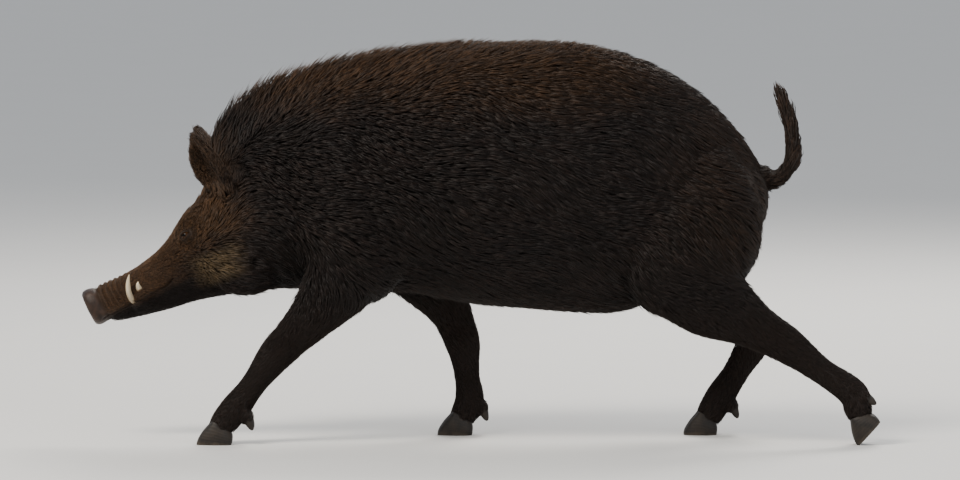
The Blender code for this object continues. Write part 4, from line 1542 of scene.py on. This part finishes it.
def tuskMaterial():
    g = Graph("ivory")
    place = g.place()
    share = g.attribute("along")
    streaks = g.noise(g.stretched(place, (260, 260, 40)), 1.0, 4.0)
    stain = (1 - share).rise(0.15, 0.65) * (0.35 + streaks * 0.7)
    colour = g.mix(streaks.rise(0.35, 0.7), ivory["dark"], ivory["light"])
    colour = g.mix(stain, colour, ivory["stain"])
    colour = g.mix(share.rise(0.90, 1.0) * 0.4, colour, ivory["worn"])
    cracks = g.noise(g.stretched(place, (900, 900, 60)), 1.0, 2.0)
    return g.finish(Base_Color=colour, Roughness=0.24 + streaks * 0.22,
                    Normal=g.bump(cracks, ivory["relief"], 0.4), Coat_Weight=0.25)


def tuskMesh(side, rows):
    corners = ivory["corners"]
    rings = [
        section(centre, across, front, radius, radius * 0.92, radius,
                squareUp=2.2, squareDown=2.0, corners=corners)
        for centre, across, front, radius in tuskStations(side, inBetween(rows, 6))
    ]
    mesh = loft("tusk", rings)
    marked(mesh, "along", [i / (len(rings) - 1) for i in range(len(rings)) for _ in range(corners)])
    mesh.shade_smooth()
    return mesh


tuskFinish = tuskMaterial()
for side, word in ((-1, "left"), (1, "right")):
    for kind, node in (("tusk", "tusk_"), ("upperTusk", "upper_tusk_")):
        piece = addObject(kind + word.title(), tuskMesh(side, tusks[kind]), tuskFinish)
        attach(piece, "root")
        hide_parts(node + word)
say("tusks")


horn = {
    "dark": (0.0060, 0.0042, 0.0030),
    "light": (0.018, 0.0125, 0.0085),
    "rings": (0.034, 0.024, 0.016),
    "streaks": (0.040, 0.029, 0.020),
    "dust": (0.085, 0.066, 0.047),
    "relief": 0.0008,
}
hooves = {
    "half": 0.0165,  # half width
    "spread": 0.0185,  # of each hoof from the foot's middle
    "corners": 36,
    "worn": 0.0025,  # off the tip of a foot that stands on it
    "heelDrop": 0.34,
    "rows": (  # height, then shares: toe and heel of the length, width of the half width
        (0.000, 0.56, 0.40, 0.88),
        (0.0012, 0.58, 0.42, 0.93),
        (0.012, 0.54, 0.44, 1.00),
        (0.028, 0.40, 0.44, 0.97),
        (0.043, 0.22, 0.38, 0.80),
        (0.050, 0.14, 0.34, 0.66),
    ),
}


def hornMaterial():
    g = Graph("horn")
    place = g.place()
    up = g.attribute("along")
    blotch = g.noise(place, 55.0, 4.0)
    wide = g.noise(place, 18.0, 2.0)
    rings = ((up * 46 + blotch * 5 + wide * 14).sine() * 0.5 + 0.5) * up.rise(0.05, 0.2)
    fine = g.noise(g.stretched(place, (500, 500, 60)), 1.0, 3.0)
    colour = g.mix(blotch.rise(0.3, 0.7), horn["dark"], horn["light"])
    colour = g.mix(rings * 0.20, colour, horn["rings"])
    colour = g.mix(fine.rise(0.5, 0.75) * 0.25, colour, horn["streaks"])
    dust = up.rise(0.22, 0.0) * blotch.rise(0.25, 0.65)
    colour = g.mix(dust * 0.55, colour, horn["dust"])
    height = rings * 0.35 + fine * 0.5
    return g.finish(Base_Color=colour, Roughness=0.42 + blotch * 0.3 + dust * 0.2,
                    Normal=g.bump(height, horn["relief"], 0.7), Specular_IOR_Level=0.30)


def hoofMesh(centre, side, length, inward, standUp):
    rings = []
    rows = inBetween(hooves["rows"], 4)
    count = hooves["corners"]
    for height, toe, heel, wide in rows:
        ring = []
        for i in range(count):
            turn = 2 * math.pi * i / count
            cosine = math.cos(turn)
            front, back = -toe * length * power(cosine, 0.9), heel * length * power(-cosine, 0.8)
            reach = front if cosine > 0 else back
            out = hooves["half"] * wide * power(math.sin(turn), 0.85)
            if reach < 0:
                out += inward * 0.08 * reach
            # the horn's upper edge drops towards the heel
            heelward = max(0.0, min(1.0, (reach / length + 0.10) / 0.50))
            ring.append(Vector((reach, out, height * (1 - hooves["heelDrop"] * heelward))))
        rings.append(ring)
    top = hooves["rows"][-1][0]
    mesh = marked(loft("hoof", rings), "along", [ring[0].z / top for ring in rings for _ in range(count)])
    lift = math.radians(standUp)
    toeTip = Matrix.Translation((-0.56 * length, 0, 0))
    tipped = toeTip @ Matrix.Rotation(-lift, 4, "Y") @ toeTip.inverted()
    mesh.transform(Matrix.Translation((centre[0] + shift, side * centre[1], 0)) @ tipped)
    if standUp:
        placed = points(mesh)
        placed[:, 2] -= placed[:, 2].min() + hooves["worn"]
        placed[:, 2] = np.maximum(placed[:, 2], 0.0)
        setPoints(mesh, placed)
    mesh.shade_smooth()
    return mesh


def dewMesh(point, axis):
    front = sideways.cross(axis).normalized()
    rows = inBetween(dewClaws["rows"], 4)
    corners = dewClaws["corners"]
    rings = [
        section(point + axis * (dewClaws["length"] * share), sideways, front, radius, radius * 0.9, radius,
                squareUp=2, squareDown=2.3, corners=corners)
        for share, radius in rows
    ]
    heights = [0.55 - 0.35 * share for share, _ in rows for _ in range(corners)]
    mesh = marked(loft("dew", rings), "along", heights)
    mesh.shade_smooth()
    return mesh


def makeHooves():
    finish = hornMaterial()
    for place, (side, sole, standUp, length, _) in feet.items():
        for which, sign in (("outer", 1), ("inner", -1)):
            offset = sign * hooves["spread"]
            name = place.title().replace("_", "") + which.title()
            hoof = hoofMesh((sole[0], sole[1] + offset), side, length, side * sign, standUp)
            dewClaw = dewMesh(*dewClawAt(place, sign))
            for label, node, mesh in (("hoof", "hoof_", hoof), ("dewClaw", "dewclaw_", dewClaw)):
                piece = addObject(label + name, mesh, finish)
                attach(piece, "root")
                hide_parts(f"{node}{place}_{which}")


makeHooves()
say("hooves")

sizes = {"cad": [list(map(float, corner)) for corner in cadBox],
         "visual": [list(map(float, corner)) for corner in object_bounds()]}
say(f"sizes {sizes}")
